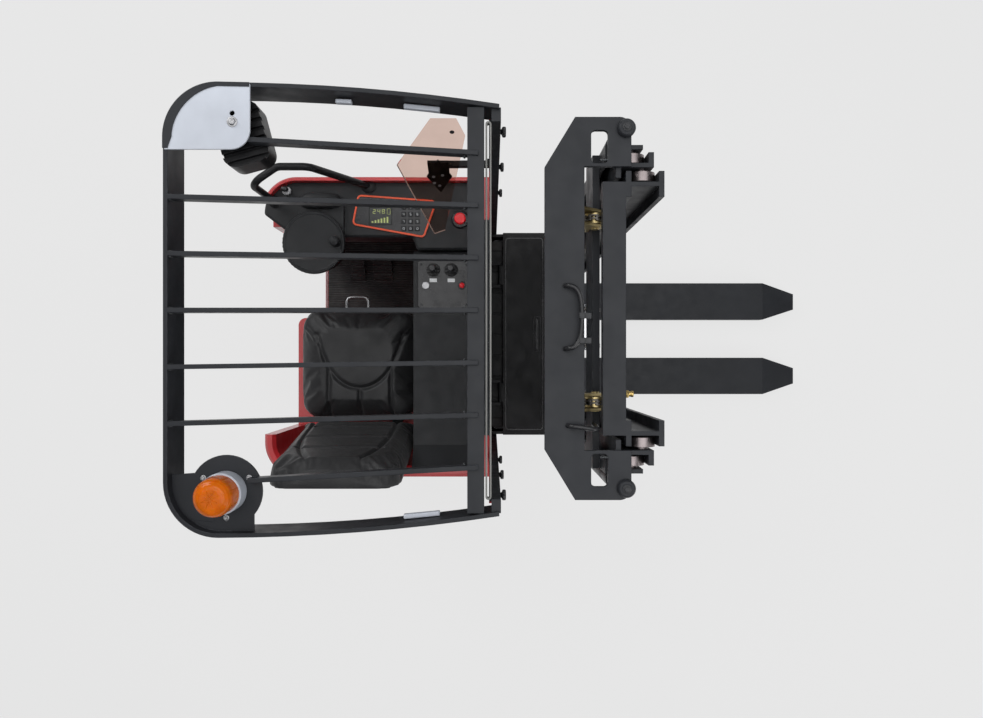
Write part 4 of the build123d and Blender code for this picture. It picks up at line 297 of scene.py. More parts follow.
OTHER_FINISH = {"lid_hinges": "black_paint", "lift_sheaves": "zinc_yellow"}
for node_name, node in nodes.items():
    node.data.materials.clear()
    node.data.materials.append(materials[OTHER_FINISH.get(node_name, slot_of[node_name])])

finishes = {
    "blank_label": moulded("blank_label", (0.72, 0.73, 0.74), 0.5, 0.1),
    "screen_green": moulded("screen_green", (0.016, 0.019, 0.017), 0.2, 0.02),
    "lit_marks": moulded("lit_marks", (0.5, 0.56, 0.2), 0.4, 0.02),
    "painted_glint_grey": moulded("painted_glint_grey", (0.2, 0.2, 0.19), 0.5, 0.1),
    "painted_glint_pink": moulded("painted_glint_pink", (0.5, 0.42, 0.39), 0.4, 0.1),
    "dark_marks": moulded("dark_marks", (0.02, 0.022, 0.02), 0.4, 0.02),
    "key_marks": moulded("key_marks", (0.62, 0.63, 0.65), 0.45, 0.02),
    "brass": bare_metal("brass", (0.62, 0.45, 0.17), 0.32),
    "weld_bead": bare_metal("weld_bead", (0.1, 0.105, 0.11), 0.5, grime=0.7),
    "lamp_glass": moulded("lamp_glass", (0.6, 0.62, 0.65), 0.12, 0.04),
}


# Building pieces
def bridge(shape, first, second):
    """Side faces between two closed loops of points."""
    for step in range(len(first)):
        after = (step + 1) % len(first)
        shape.faces.new((first[step], first[after], second[after], second[step]))


def loft(shape, rings):
    """A closed form over rings of points from foot to head."""
    for low, high in zip(rings, rings[1:]):
        bridge(shape, low, high)
    shape.faces.new(reversed(rings[0]))
    shape.faces.new(rings[-1])


def add_turned(shape, profile, place, axis=UP, steps=32, lobes=0, lobe_depth=0.0):
    """A turned form: radius and height pairs from foot to head round an axis, its rim in lobes if asked."""
    turn = Vector(UP).rotation_difference(Vector(axis).normalized()).to_matrix().to_4x4()
    at = Matrix.Translation(place) @ turn
    rings = []
    for radius, height in profile:
        ring = []
        for step in range(steps):
            angle = 2 * math.pi * step / steps
            reach = radius * (1 - lobe_depth * (0.5 - 0.5 * math.cos(lobes * angle)))
            ring.append(shape.verts.new(at @ Vector((reach * math.cos(angle), reach * math.sin(angle), height))))
        rings.append(ring)
    loft(shape, rings)


def add_bar(shape, centre, size, turn=(0.0, 0.0, 0.0)):
    """A straight bar or plate of a size, turned about its centre by angles in degrees."""
    angles = Euler([math.radians(angle) for angle in turn]).to_matrix().to_4x4()
    bmesh.ops.create_cube(shape, size=1.0, matrix=Matrix.Translation(centre) @ angles @ Matrix.Diagonal((*size, 1.0)))


def add_plate(shape, outline, foot, head):
    """A flat plate from its outline in plan."""
    loft(shape, [[shape.verts.new((x, y, level)) for x, y in outline] for level in (foot, head)])


def round_rect(centre, size, radius, steps=6):
    """Plan of a rectangle with round corners."""
    points = []
    for quarter, (x, y) in enumerate(((1, 1), (-1, 1), (-1, -1), (1, -1))):
        corner = (centre[0] + x * (size[0] / 2 - radius), centre[1] + y * (size[1] / 2 - radius))
        for step in range(steps + 1):
            angle = math.pi / 2 * (quarter + step / steps)
            points.append((corner[0] + radius * math.cos(angle), corner[1] + radius * math.sin(angle)))
    return points


def add_frame(shape, centre, size, radius, width, foot, head):
    """A flat ring with round corners."""
    outer = round_rect(centre, size, radius)
    inner = round_rect(centre, (size[0] - 2 * width, size[1] - 2 * width), radius - width)
    loops = []
    for outline, level in ((outer, foot), (outer, head), (inner, head), (inner, foot)):
        loops.append([shape.verts.new((x, y, level)) for x, y in outline])
    loops.append(loops[0])
    for first, second in zip(loops, loops[1:]):
        bridge(shape, first, second)


def add_rod(shape, points, radius, steps=10):
    """A bent rod through points, its bends rounded by a smooth curve."""
    curve = bpy.data.curves.new("rod", "CURVE")
    curve.dimensions = "3D"
    curve.bevel_depth = radius
    curve.bevel_resolution = steps // 4
    curve.use_fill_caps = True
    spline = curve.splines.new("NURBS")
    spline.points.add(len(points) - 1)
    for control, point in zip(spline.points, points):
        control.co = (*point, 1.0)
    spline.order_u = 3
    spline.use_endpoint_u = True
    spline.resolution_u = 8
    holder = bpy.data.objects.new("rod", curve)
    drawn = bpy.data.meshes.new_from_object(holder)
    shape.from_mesh(drawn)
    bpy.data.objects.remove(holder)
    bpy.data.curves.remove(curve)
    bpy.data.meshes.remove(drawn)


def piece(name, shape, finish, soft=0.0, body="chassis"):
    """A finished piece from a built shape, its edges softened, riding on a body unless that is None."""
    bmesh.ops.recalc_face_normals(shape, faces=shape.faces)
    mesh = bpy.data.meshes.new(name)
    shape.to_mesh(mesh)
    shape.free()
    mesh.materials.append(materials.get(finish) or finishes[finish])
    made = bpy.data.objects.new(name, mesh)
    bpy.context.scene.collection.objects.link(made)
    mesh.shade_smooth()
    mesh.set_sharp_from_angle(angle=SMOOTH_ANGLE)
    if soft:
        softened = made.modifiers.new("softened", "BEVEL")
        softened.width = soft
        softened.segments = 2
        softened.limit_method = "ANGLE"
        softened.angle_limit = SMOOTH_ANGLE
    if body:
        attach(made, body)
    return made


HEX_HEAD = ((0.62, 0.0), (1.0, 0.0), (1.0, 0.55), (0.9, 0.66), (0.45, 0.66), (0.4, 0.6), (0.05, 0.6))


def add_bolt(shape, place, radius, axis=UP):
    """A bolt's hexagon head on its washer."""
    washer = ((radius * 1.45, 0.0), (radius * 1.45, radius * 0.16), (radius * 1.1, radius * 0.2))
    add_turned(shape, washer, place, axis, 20)
    lift = Vector(axis).normalized() * (radius * 0.16)
    add_turned(shape, [(radius * r, radius * h) for r, h in HEX_HEAD], Vector(place) + lift, axis, 6)


# Seat: foam cushions blown up under their covers, then sewn
FOAM_VOXEL = 0.006
FOAM_PRESSURE = 4.0
SEAM_WIDTH = 0.008
CLOTH_FRAMES = 20


def line_distance(point, line):
    """How far a point in plan lies from a drawn line."""
    best = 9.0
    for start, end in zip(line, line[1:]):
        along = Vector(end) - Vector(start)
        share = (point - Vector(start)).dot(along) / along.length_squared
        best = min(best, (point - Vector(start) - along * max(0.0, min(1.0, share))).length)
    return best


def bent_line(start, middle, end, steps=14):
    """A line that bows from one point to another."""
    first, second, third = Vector(start), Vector(middle), Vector(end)
    shares = [step / steps for step in range(steps + 1)]
    return [tuple(first * (1 - s) ** 2 + second * 2 * s * (1 - s) + third * s * s) for s in shares]


def foam_pad(name, node_name, held, shrink, shift, cap, seams, flat, up, depth):
    """A stuffed pad in a CAD solid's place: held on its resting side, swollen, then sewn down along its seams."""
    source = nodes[node_name]
    mesh = source.data.copy()
    mesh.name = name
    mesh.transform(source.matrix_world)
    low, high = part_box(node_name)
    middle = (Vector(low) + Vector(high)) / 2
    for vertex in mesh.vertices:
        vertex.co = middle + Vector([(vertex.co[k] - middle[k]) * shrink[k] + shift[k] for k in range(3)])
    pad = bpy.data.objects.new(name, mesh)
    bpy.context.scene.collection.objects.link(pad)
    pad.data.materials.clear()
    pad.data.materials.append(materials["leatherette"])
    remesh = pad.modifiers.new("skin", "REMESH")
    remesh.mode = "VOXEL"
    remesh.voxel_size = FOAM_VOXEL
    skin = bpy.data.meshes.new_from_object(pad.evaluated_get(bpy.context.evaluated_depsgraph_get()))
    pad.modifiers.clear()
    pad.data = skin
    start = [vertex.co.copy() for vertex in skin.vertices]
    group = pad.vertex_groups.new(name="held")
    group.add([vertex.index for vertex in skin.vertices if held(vertex.co)], 1.0, "REPLACE")
    cloth = pad.modifiers.new("cover", "CLOTH")
    cloth.settings.quality = 4
    cloth.settings.mass = 0.4
    cloth.settings.use_pressure = True
    cloth.settings.uniform_pressure_force = FOAM_PRESSURE
    cloth.settings.tension_stiffness = 25.0
    cloth.settings.compression_stiffness = 25.0
    cloth.settings.bending_stiffness = 2.0
    cloth.settings.vertex_group_mass = "held"
    cloth.settings.effector_weights.gravity = 0.0
    cloth.point_cache.frame_end = CLOTH_FRAMES
    for number in range(1, CLOTH_FRAMES + 1):
        bpy.context.scene.frame_set(number)
    blown = pad.evaluated_get(bpy.context.evaluated_depsgraph_get())
    swollen = [vertex.co.copy() for vertex in blown.data.vertices]
    pad.modifiers.clear()
    bpy.context.scene.frame_set(1)
    for vertex, before, after in zip(skin.vertices, start, swollen):
        move = after - before
        if move.length > cap:
            move *= cap / move.length
        vertex.co = before + move
    skin.update()
    smoothing = pad.modifiers.new("finer", "SUBSURF")
    smoothing.levels = 1
    smoothing.render_levels = 1
    fine = bpy.data.meshes.new_from_object(pad.evaluated_get(bpy.context.evaluated_depsgraph_get()))
    pad.modifiers.clear()
    pad.data = fine
    moves = []
    for vertex in fine.vertices:
        if vertex.normal.dot(up) < 0.25:
            moves.append(None)
            continue
        spot = flat(vertex.co)
        sink = 0.0
        for seam in seams:
            reach = line_distance(spot, seam)
            sink = max(sink, depth * math.exp(-((reach / SEAM_WIDTH) ** 2)))
        moves.append(vertex.normal * -sink)
    for vertex, move in zip(fine.vertices, moves):
        if move is not None:
            vertex.co += move
    fine.update()
    fine.shade_smooth()
    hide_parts(node_name)
    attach(pad, "chassis")


SEAT_X = -0.887
cushion_low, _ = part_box("seat_cushion")
CUSHION_SEAMS = (
    bent_line((SEAT_X - 0.166, -0.015), (SEAT_X - 0.118, -0.218), (SEAT_X, -0.22)),
    bent_line((SEAT_X + 0.166, -0.015), (SEAT_X + 0.118, -0.218), (SEAT_X, -0.22)),
    ((SEAT_X - 0.118, -0.15), (SEAT_X - 0.122, -0.325)),
    ((SEAT_X, -0.22), (SEAT_X, -0.33)),
    ((SEAT_X + 0.118, -0.15), (SEAT_X + 0.122, -0.325)),
)
foam_pad(
    "foam_cushion",
    "seat_cushion",
    held=lambda point: point.z < cushion_low[2] + 0.03,
    shrink=(1.005, 1.0, 0.88),
    shift=(-0.013, -0.006, 0.0),
    cap=0.024,
    seams=CUSHION_SEAMS,
    flat=lambda point: Vector((point.x, point.y)),
    up=Vector(UP),
    depth=0.011,
)
back_low, back_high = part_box("seat_back")
BACK_LEAN = 0.112 / 0.54
back_up = Vector((0, 1, BACK_LEAN)).normalized()
BACK_SEAMS = (
    bent_line((SEAT_X - 0.15, 1.1), (SEAT_X - 0.17, 1.42), (SEAT_X - 0.09, 1.54)),
    bent_line((SEAT_X + 0.15, 1.1), (SEAT_X + 0.17, 1.42), (SEAT_X + 0.09, 1.54)),
    ((SEAT_X - 0.135, 1.2), (SEAT_X + 0.135, 1.2)),
    ((SEAT_X - 0.15, 1.32), (SEAT_X + 0.15, 1.32)),
    ((SEAT_X - 0.14, 1.44), (SEAT_X + 0.14, 1.44)),
)
foam_pad(
    "foam_backrest",
    "seat_back",
    held=lambda point: point.y < back_high[1] - 0.048 - (point.z - back_low[2]) * BACK_LEAN,
    shrink=(0.965, 0.93, 0.965),
    shift=(0.006, 0.0, 0.0),
    cap=0.022,
    seams=BACK_SEAMS,
    flat=lambda point: Vector((point.x, point.z)),
    up=back_up,
    depth=0.01,
)

shape = bmesh.new()
SLIDE_BAR_X = (SEAT_X - 0.077, SEAT_X + 0.011)
SLIDE_BAR_LEG = ((0.03, 0.925), (0.09, 0.925), (0.139, 0.93))
slide_bar = [(SLIDE_BAR_X[0], y, z) for y, z in SLIDE_BAR_LEG]
slide_bar.append((sum(SLIDE_BAR_X) / 2, 0.141, 0.932))
slide_bar += [(SLIDE_BAR_X[1], y, z) for y, z in reversed(SLIDE_BAR_LEG)]
add_rod(shape, slide_bar, 0.005)
piece("seat_slide_bar", shape, "silver")

# Steering wheel: thumb slot with its rim, spinner cap, grip
shape = bmesh.new()
DISH_Z = STEER.z - 0.008
SLOT_AT = (STEER.x - 0.034, STEER.y)
add_plate(shape, round_rect(SLOT_AT, (0.082, 0.03), 0.014), DISH_Z, DISH_Z + 0.0012)
piece("wheel_slot", shape, "gloss_black", 0.0005, body="steering_wheel")
shape = bmesh.new()
add_frame(shape, SLOT_AT, (0.09, 0.038), 0.018, 0.004, DISH_Z, DISH_Z + 0.003)
SPINNER_CAP = ((0.0176, 0.007), (0.0176, 0.037), (0.0161, 0.043), (0.0106, 0.0465), (0.0021, 0.0475))
add_turned(shape, SPINNER_CAP, (STEER.x + 0.078, STEER.y, DISH_Z), UP, 36)
WHEEL_GRIP = ((0.1065, -0.016), (0.1088, -0.012), (0.1088, -0.006), (0.1065, -0.002))
add_turned(shape, WHEEL_GRIP, STEER, UP, 96, 48, 0.012)
piece("wheel_trim", shape, "dark_plastic", 0.0008, body="steering_wheel")

# Display: window, gauge and keys' figures
STROKES = {
    # middle across and up, length across and up
    "a": (0.0, 1.0, 1.0, 0.0),
    "b": (0.5, 0.75, 0.0, 0.5),
    "c": (0.5, 0.25, 0.0, 0.5),
    "d": (0.0, 0.0, 1.0, 0.0),
    "e": (-0.5, 0.25, 0.0, 0.5),
    "f": (-0.5, 0.75, 0.0, 0.5),
    "g": (0.0, 0.5, 1.0, 0.0),
}
FIGURES = ("adfbec", "bc", "agdbe", "agdbc", "gfbc", "agdfc", "agdfec", "abc", "agdfbec", "agdfbc")


def add_figure(shape, number, foot, width, height, stroke, rise):
    """A figure of straight strokes lying in plan, its foot's middle at a point."""
    for stroke_name in FIGURES[number]:
        x, y, across, upward = STROKES[stroke_name]
        centre = (foot[0] + x * width, foot[1] + y * height, foot[2] + rise / 2)
        add_bar(shape, centre, (max(across * width, stroke), max(upward * height, stroke), rise))


LCD_X = (-0.812, -0.732)
LCD_Y = (0.362, 0.424)
LCD_Z = 1.3025
LCD_TOP_Z = LCD_Z + 0.0008
LCD_RISE = 0.0004
lcd_centre = (sum(LCD_X) / 2, sum(LCD_Y) / 2)
shape = bmesh.new()
add_plate(shape, round_rect(lcd_centre, (0.078, 0.06), 0.003), LCD_Z, LCD_TOP_Z)
piece("display_window", shape, "screen_green", 0.0003)
shape = bmesh.new()
for place, number in enumerate((2, 4, 8)):
    figure_at = (LCD_X[0] + 0.018 + place * 0.016, 0.402, LCD_TOP_Z)
    add_figure(shape, number, figure_at, 0.008, 0.014, 0.002, LCD_RISE)
for step in range(6):
    bar_height = 0.006 + 0.003 * step
    bar_at = (LCD_X[0] + 0.012 + step * 0.0105, 0.369 + bar_height / 2, LCD_TOP_Z + LCD_RISE / 2)
    add_bar(shape, bar_at, (0.006, bar_height, LCD_RISE))
add_frame(shape, (LCD_X[1] - 0.011, 0.409), (0.012, 0.02), 0.002, 0.0012, LCD_TOP_Z, LCD_TOP_Z + LCD_RISE)
piece("display_figures", shape, "lit_marks")
KEYPAD = (-0.6661, 0.386)
KEY_PITCH = (0.024, 0.025)
KEY_Z = (1.304, 1.3068)
KEY_SIZE = (0.0142, 0.0142)
KEY_MARK_RISE = 0.0003
shape = bmesh.new()
keys = bmesh.new()
for row in range(4):
    for column in range(3):
        at = (KEYPAD[0] + (column - 1) * KEY_PITCH[0], KEYPAD[1] + (1.5 - row) * KEY_PITCH[1])
        add_plate(keys, round_rect(at, KEY_SIZE, 0.003), *KEY_Z)
        number = row * 3 + column + 1
        if number in (10, 12):
            add_frame(shape, at, (0.008, 0.008), 0.0039, 0.0012, KEY_Z[1], KEY_Z[1] + KEY_MARK_RISE)
        else:
            figure_at = (at[0], at[1] - 0.0036, KEY_Z[1])
            add_figure(shape, number % 11, figure_at, 0.0042, 0.0074, 0.0012, KEY_MARK_RISE)
piece("keypad_keys", keys, "dark_plastic", 0.0008)
piece("keypad_figures", shape, "key_marks")

# Dash: stop collar, key in its switch
shape = bmesh.new()
STOP_COLLAR = ((0.031, 0.0), (0.031, 0.004), (0.027, 0.009), (0.017, 0.01), (0.0125, 0.012))
add_turned(shape, STOP_COLLAR, (-0.492, 0.38, DASH_Z), UP, 40)
piece("stop_collar", shape, "gloss_black", 0.0008)
shape = bmesh.new()
KEY_AT = Vector((-1.1, 0.48, DASH_Z))
KEY_BARREL = ((0.013, 0.01), (0.013, 0.0125), (0.009, 0.014), (0.0015, 0.014))
KEY_BOW = ((0.011, 0.026), (0.0125, 0.03), (0.0125, 0.042), (0.009, 0.046), (0.002, 0.047))
add_turned(shape, KEY_BARREL, KEY_AT, UP, 28)
add_bar(shape, KEY_AT + Vector((0.0, 0.0, 0.02)), (0.0022, 0.009, 0.016))
piece("switch_key", shape, "silver", 0.0006)
shape = bmesh.new()
add_turned(shape, KEY_BOW, KEY_AT, UP, 24, 2, 0.35)
piece("key_bow", shape, "gloss_black", 0.001)

# Console: control module with boots, blank labels, lamp and screws
shape = bmesh.new()
MODULE_X = (-0.643, -0.456)
MODULE_STEPS = 14
MODULE_TOP_Z = CONSOLE_Z + 0.005
module = []
for step in range(MODULE_STEPS + 1):
    share = step / MODULE_STEPS
    bow = 0.03 * math.sin(math.pi * share)
    module.append((MODULE_X[0] + (MODULE_X[1] - MODULE_X[0]) * share, 0.232 + bow))
module += [(MODULE_X[1], 0.078), (MODULE_X[1] - 0.008, 0.068), (MODULE_X[0] + 0.008, 0.068), (MODULE_X[0], 0.078)]
add_plate(shape, list(reversed(module)), CONSOLE_Z - 0.001, MODULE_TOP_Z)
piece("console_module", shape, "gloss_black", 0.002)
shape = bmesh.new()
LEVERS_X = (CAB_X - 0.205, CAB_X - 0.142)
LEVER_Y = 0.205
BELLOWS = (
    (0.024, 0.004),
    (0.024, 0.008),
    (0.0215, 0.0095),
    (0.0235, 0.0125),
    (0.0185, 0.0145),
    (0.0205, 0.018),
    (0.0155, 0.02),
    (0.0175, 0.0235),
    (0.0125, 0.0255),
    (0.0145, 0.029),
    (0.0105, 0.0325),
)
for lever_x in LEVERS_X:
    add_turned(shape, BELLOWS, (lever_x, LEVER_Y, CONSOLE_Z), UP, 40)
piece("lever_boots", shape, "mat_rubber", 0.0006)
shape = bmesh.new()
for lever_x in LEVERS_X:
    add_plate(shape, round_rect((lever_x, 0.168), (0.026, 0.013), 0.002), MODULE_TOP_Z, MODULE_TOP_Z + 0.0008)
piece("console_labels", shape, "blank_label", 0.0002)
CONSOLE_LAMP_AT = (CAB_X - 0.104, 0.15, CONSOLE_Z)
CONSOLE_LAMP = ((0.0095, 0.006), (0.0095, 0.0085), (0.007, 0.011), (0.001, 0.0122))
CONSOLE_LAMP_RING = ((0.0145, 0.004), (0.0145, 0.0068), (0.0125, 0.0082), (0.0096, 0.0082))
MODULE_SCREW = ((0.0045, 0.004), (0.0045, 0.0062), (0.0035, 0.0072), (0.0006, 0.0072))
shape = bmesh.new()
add_turned(shape, CONSOLE_LAMP, CONSOLE_LAMP_AT, UP, 28)
piece("console_lamp", shape, "stop_red", 0.0003)
shape = bmesh.new()
add_turned(shape, CONSOLE_LAMP_RING, CONSOLE_LAMP_AT, UP, 32)
for screw_x, screw_y in ((-0.63, 0.082), (-0.47, 0.082), (-0.47, 0.225), (-0.63, 0.225)):
    add_turned(shape, MODULE_SCREW, (screw_x, screw_y, CONSOLE_Z), UP, 16)
piece("console_screws", shape, "cast_drive", 0.0003)

# Guard: weld beads, clip strips, a pale band round the clear screen's top edge painted as the light it catches, bolts,
# beacon ribs, lamp lenses
GUARD_BEAD = ((0.0008, -0.0028), (0.0026, -0.0014), (0.003, 0.0), (0.0026, 0.0014), (0.0008, 0.0028))
shape = bmesh.new()
for index in range(-3, 4):
    rear_y = index * GUARD_BAR_PITCH
    front_y = rear_y * GUARD_BAR_TAPER
    for side in SIDES:
        for drop in range(4):
            ends = [(CROSS_BAR_X - 0.046, front_y + side * 0.006)]
            if abs(index) < 3:
                ends.append((GUARD_REAR_X + 0.0115, rear_y + side * 0.006))
            for bead_x, bead_y in ends:
                add_turned(shape, GUARD_BEAD, (bead_x, bead_y, GUARD_Z - 0.008 - drop * 0.0042), UP, 10)
piece("guard_welds", shape, "weld_bead")
CLIP_STRIPS = (
    # place, size, turn in degrees
    ((-0.732, 0.4965, 2.15), (0.038, 0.009, 0.018), -2.5),
    ((-0.547, 0.4815, 2.15), (0.086, 0.011, 0.016), -5.5),
    ((-0.547, -0.4815, 2.15), (0.086, 0.011, 0.016), 5.5),
)
shape = bmesh.new()
for place, size, turn in CLIP_STRIPS:
    add_bar(shape, place, size, (0, 0, turn))
piece("guard_strips", shape, "grey_paint", 0.002)
# A pale band round the clear screen's top edge: a painted glint of the light in the sheet's edge.
shape = bmesh.new()
add_frame(shape, (CAB_X - 0.007, 0.0), (0.014, 0.88), 0.0065, 0.0042, 2.166, 2.186)
piece("screen_edge_glint", shape, "painted_glint_grey", 0.0008)
shape = bmesh.new()
add_bolt(shape, (-0.9776, 0.432, GUARD_Z + 0.005), 0.0085)
BEACON_PLATE_Z = 2.175
BEACON_BOLT_R = 0.062
for turn in range(3):
    angle = math.radians(30 + 120 * turn)
    bolt_at = (BEACON.x + BEACON_BOLT_R * math.cos(angle), BEACON.y + BEACON_BOLT_R * math.sin(angle), BEACON_PLATE_Z)
    add_bolt(shape, bolt_at, 0.005)
piece("guard_bolts", shape, "silver", 0.0003)
shape = bmesh.new()
RIB_WIDTH = 0.0018
RIB_PROFILE = ((0.0, 0.0405), (0.018, 0.0405), (0.03, 0.0385), (0.04, 0.0285), (0.0442, 0.018), (0.0445, -0.018))
for turn in range(4):
    angle = math.radians(45 * turn + 20)
    for near, far in zip(RIB_PROFILE, RIB_PROFILE[1:]):
        for side in SIDES:
            turned = ((side * r * math.cos(angle), side * r * math.sin(angle), h) for r, h in (near, far))
            start, end = map(Vector, turned)
            along = end - start
            lean = Vector(UP).rotation_difference(along).to_matrix().to_4x4()
            at = Matrix.Translation(BEACON + Vector((0, 0, 0.0215)) + (start + end) / 2) @ lean
            size = Matrix.Diagonal((RIB_WIDTH, RIB_WIDTH, along.length + 0.001, 1.0))
            bmesh.ops.create_cube(shape, size=1.0, matrix=at @ size)
piece("beacon_ribs", shape, "amber_lens", 0.0004)
WORK_LAMP = Vector((GUARD_REAR_X + 0.166, 0.419, 2.094))
LENS_DISH = ((0.019, 0.0), (0.019, 0.003), (0.015, 0.0045), (0.008, 0.0022), (0.001, 0.0014))
lamp_turn = Euler((0, 0, math.radians(15))).to_matrix()
shape = bmesh.new()
for column in range(2):
    for row in range(3):
        spot = lamp_turn @ Vector(((column - 0.5) * 0.046, (row - 1) * 0.044, 0.0))
        add_turned(shape, LENS_DISH, WORK_LAMP + spot, (0, 0, -1), 28)
piece("lamp_lenses", shape, "lamp_glass", 0.0004)

# Screen knobs: five-lobed hand knobs in place of the plain ones
shape = bmesh.new()
KNOBS_Z = (1.42, 1.75, 2.08)
knob_low, knob_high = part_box("screen_knobs")
STAR_R = 0.014
STAR_RIM = ((STAR_R, 0.0065), (STAR_R, 0.0115), (0.012, 0.0136), (0.0015, 0.014))
STAR = ((0.006, 0.0), (0.008, 0.003), (0.0125, 0.0045), *STAR_RIM)
for side in SIDES:
    for level in KNOBS_Z:
        place = (knob_low[0], side * (knob_high[1] - STAR_R), level)
        add_turned(shape, STAR, place, (1, 0, 0), 50, 5, 0.26)
star_knobs = piece("star_knobs", shape, "gloss_black", 0.0006)
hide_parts("screen_knobs")

# Tinted plate: eyelet in its top corner, the arm's clamp plate behind it with its screws, its polished lower edges
# painted paler as the light they catch
TINT_FOOT = Vector((CAB_X, 0.3, 1.49965))
TINT_THICKNESS = 0.005
tint_rise = Vector((0.0, 0.2, 0.48024)).normalized()
tint_out = Vector((0.0, -0.48024, 0.2)).normalized()


def on_tint(across, along, out):
    """A point on the tinted plate: across from the cab's front, along its slope, and off its rear face."""
    return TINT_FOOT + Vector((across, 0.0, 0.0)) + tint_rise * along + tint_out * out


shape = bmesh.new()
EYELET = ((0.0065, 0.0), (0.0065, 0.001), (0.0052, 0.0016), (0.0034, 0.0012), (0.001, 0.0004))
add_turned(shape, EYELET, on_tint(-0.104, 0.494, TINT_THICKNESS), tint_out, 28)
piece("plate_grommet", shape, "gloss_black", 0.0003)
shape = bmesh.new()
CLAMP_CORNERS = ((-0.15, 0.371), (-0.187, 0.295), (-0.15, 0.219), (-0.113, 0.295))
CLAMP_OUT = (-0.0055, -0.0004)
loft(shape, [[shape.verts.new(on_tint(*corner, out)) for corner in CLAMP_CORNERS] for out in CLAMP_OUT])
piece("arm_clamp", shape, "black_paint", 0.0015)
shape = bmesh.new()
PLATE_SCREW = ((0.0046, 0.0), (0.0046, 0.0013), (0.0033, 0.0025), (0.0012, 0.0027), (0.0008, 0.0018))
for place in ((-0.166, 0.303), (-0.166, 0.274), (-0.14, 0.31), (-0.151, 0.261)):
    add_turned(shape, PLATE_SCREW, on_tint(*place, TINT_THICKNESS), tint_out, 16)
piece("plate_screws", shape, "roller_steel", 0.0002)
shape = bmesh.new()
# Pale rods along the plate's two lower edges: a painted glint of the light in the sheet's polished edges.
TINT_EDGE_R = 0.0016
TINT_EDGES = (((-0.265, 0.3537), (-0.185, 0.0)), ((-0.185, 0.0), (-0.15, 0.0208)))
for first, last in TINT_EDGES:
    start, end = (on_tint(*corner, TINT_THICKNESS / 2) for corner in (first, last))
    run = end - start
    add_turned(shape, ((TINT_EDGE_R, 0.0), (TINT_EDGE_R, run.length)), start, run, 8)
piece("plate_edge_glint", shape, "painted_glint_pink")

# Seat pivots and handle flanges
shape = bmesh.new()
PIVOT = ((0.014, -0.006), (0.014, 0.003), (0.011, 0.0055), (0.005, 0.006), (0.001, 0.0052))
for side in SIDES:
    add_turned(shape, PIVOT, (SEAT_X + side * 0.219, -0.262, 1.0), (side, 0, 0), 28)
piece("seat_pivots", shape, "silver", 0.0005)
shape = bmesh.new()
FLANGE = ((0.022, 0.0), (0.022, 0.004), (0.0175, 0.0065), (0.0135, 0.012), (0.0124, 0.02))
add_turned(shape, FLANGE, (-1.1436, 0.443, DASH_Z), UP, 36)
FRONT_FLANGE = ((0.026, 0.0), (0.026, 0.004), (0.0205, 0.007), (0.012, 0.0105))
add_turned(shape, FRONT_FLANGE, (-0.8145, 0.499, DASH_Z), UP, 36)
piece("handle_flanges", shape, "black_paint", 0.0006)

# Column shroud behind the steering wheel
shape = bmesh.new()
SHROUD = ((1.0, 0.0), (0.99, 0.012), (0.94, 0.02), (0.84, 0.026), (0.66, 0.03), (0.4, 0.032), (0.02, 0.0325))
SHROUD_AT = Vector((-0.977, 0.4405, 1.3215))
SHROUD_REACH = (0.074, 0.0275)
SHROUD_STEPS = 48
rings = []
for share, rise in SHROUD:
    ring = []
    for step in range(SHROUD_STEPS):
        angle = 2 * math.pi * step / SHROUD_STEPS
        across = math.copysign(abs(math.cos(angle)) ** 0.6, math.cos(angle)) * SHROUD_REACH[0] * share
        along = math.copysign(abs(math.sin(angle)) ** 0.8, math.sin(angle)) * SHROUD_REACH[1] * share
        ring.append(shape.verts.new(SHROUD_AT + Vector((across, along, rise))))
    rings.append(ring)
loft(shape, rings)
piece("column_shroud", shape, "dark_plastic")

# Guard's rolled edge round the lamp plate
shape = bmesh.new()
CORNER = Vector((GUARD_REAR_X + 0.127, 0.398))
CORNER_R = 0.126
CORNER_STEPS = 24
EDGE_FOOT_Z, EDGE_HEAD_Z = 2.2051, 2.2068
outer_line = [(GUARD_REAR_X + 0.001, 0.372)]
inner_line = [(GUARD_REAR_X + 0.013, 0.372)]
for step in range(CORNER_STEPS + 1):
    share = step / CORNER_STEPS
    angle = math.pi - math.pi / 2 * share
    width = 0.021 + 0.005 * math.sin(math.pi * share) - 0.011 * share
    for line, reach in ((outer_line, CORNER_R), (inner_line, CORNER_R - width)):
        line.append((CORNER.x + reach * math.cos(angle), CORNER.y + reach * math.sin(angle)))
outer_line.append((-0.9385, 0.5225))
inner_line.append((-0.9385, 0.5125))
for level, order in ((EDGE_FOOT_Z, 1), (EDGE_HEAD_Z, -1)):
    for index in range(len(outer_line) - 1):
        corners = [outer_line[index], outer_line[index + 1], inner_line[index + 1], inner_line[index]]
        shape.faces.new([shape.verts.new((x, y, level)) for x, y in corners[::order]])
for line in (outer_line, inner_line):
    for first, second in zip(line, line[1:]):
        wall = ((*first, EDGE_FOOT_Z), (*second, EDGE_FOOT_Z), (*second, EDGE_HEAD_Z), (*first, EDGE_HEAD_Z))
        shape.faces.new([shape.verts.new(corner) for corner in wall])
bmesh.ops.remove_doubles(shape, verts=shape.verts, dist=0.00001)
piece("guard_corner_edge", shape, "slate_paint")

# Beacon plate's web to the guard's rear plate
shape = bmesh.new()
WEB = (
    (GUARD_REAR_X + 0.009, -0.383),
    (GUARD_REAR_X + 0.009, -0.44),
    (GUARD_REAR_X + 0.03, -0.486),
    (BEACON.x - 0.03, -0.495),
    (BEACON.x, -0.45),
    (BEACON.x - 0.072, -0.379),
)
add_plate(shape, WEB, 2.1702, 2.1752)
piece("beacon_web", shape, "slate_paint", 0.0008)

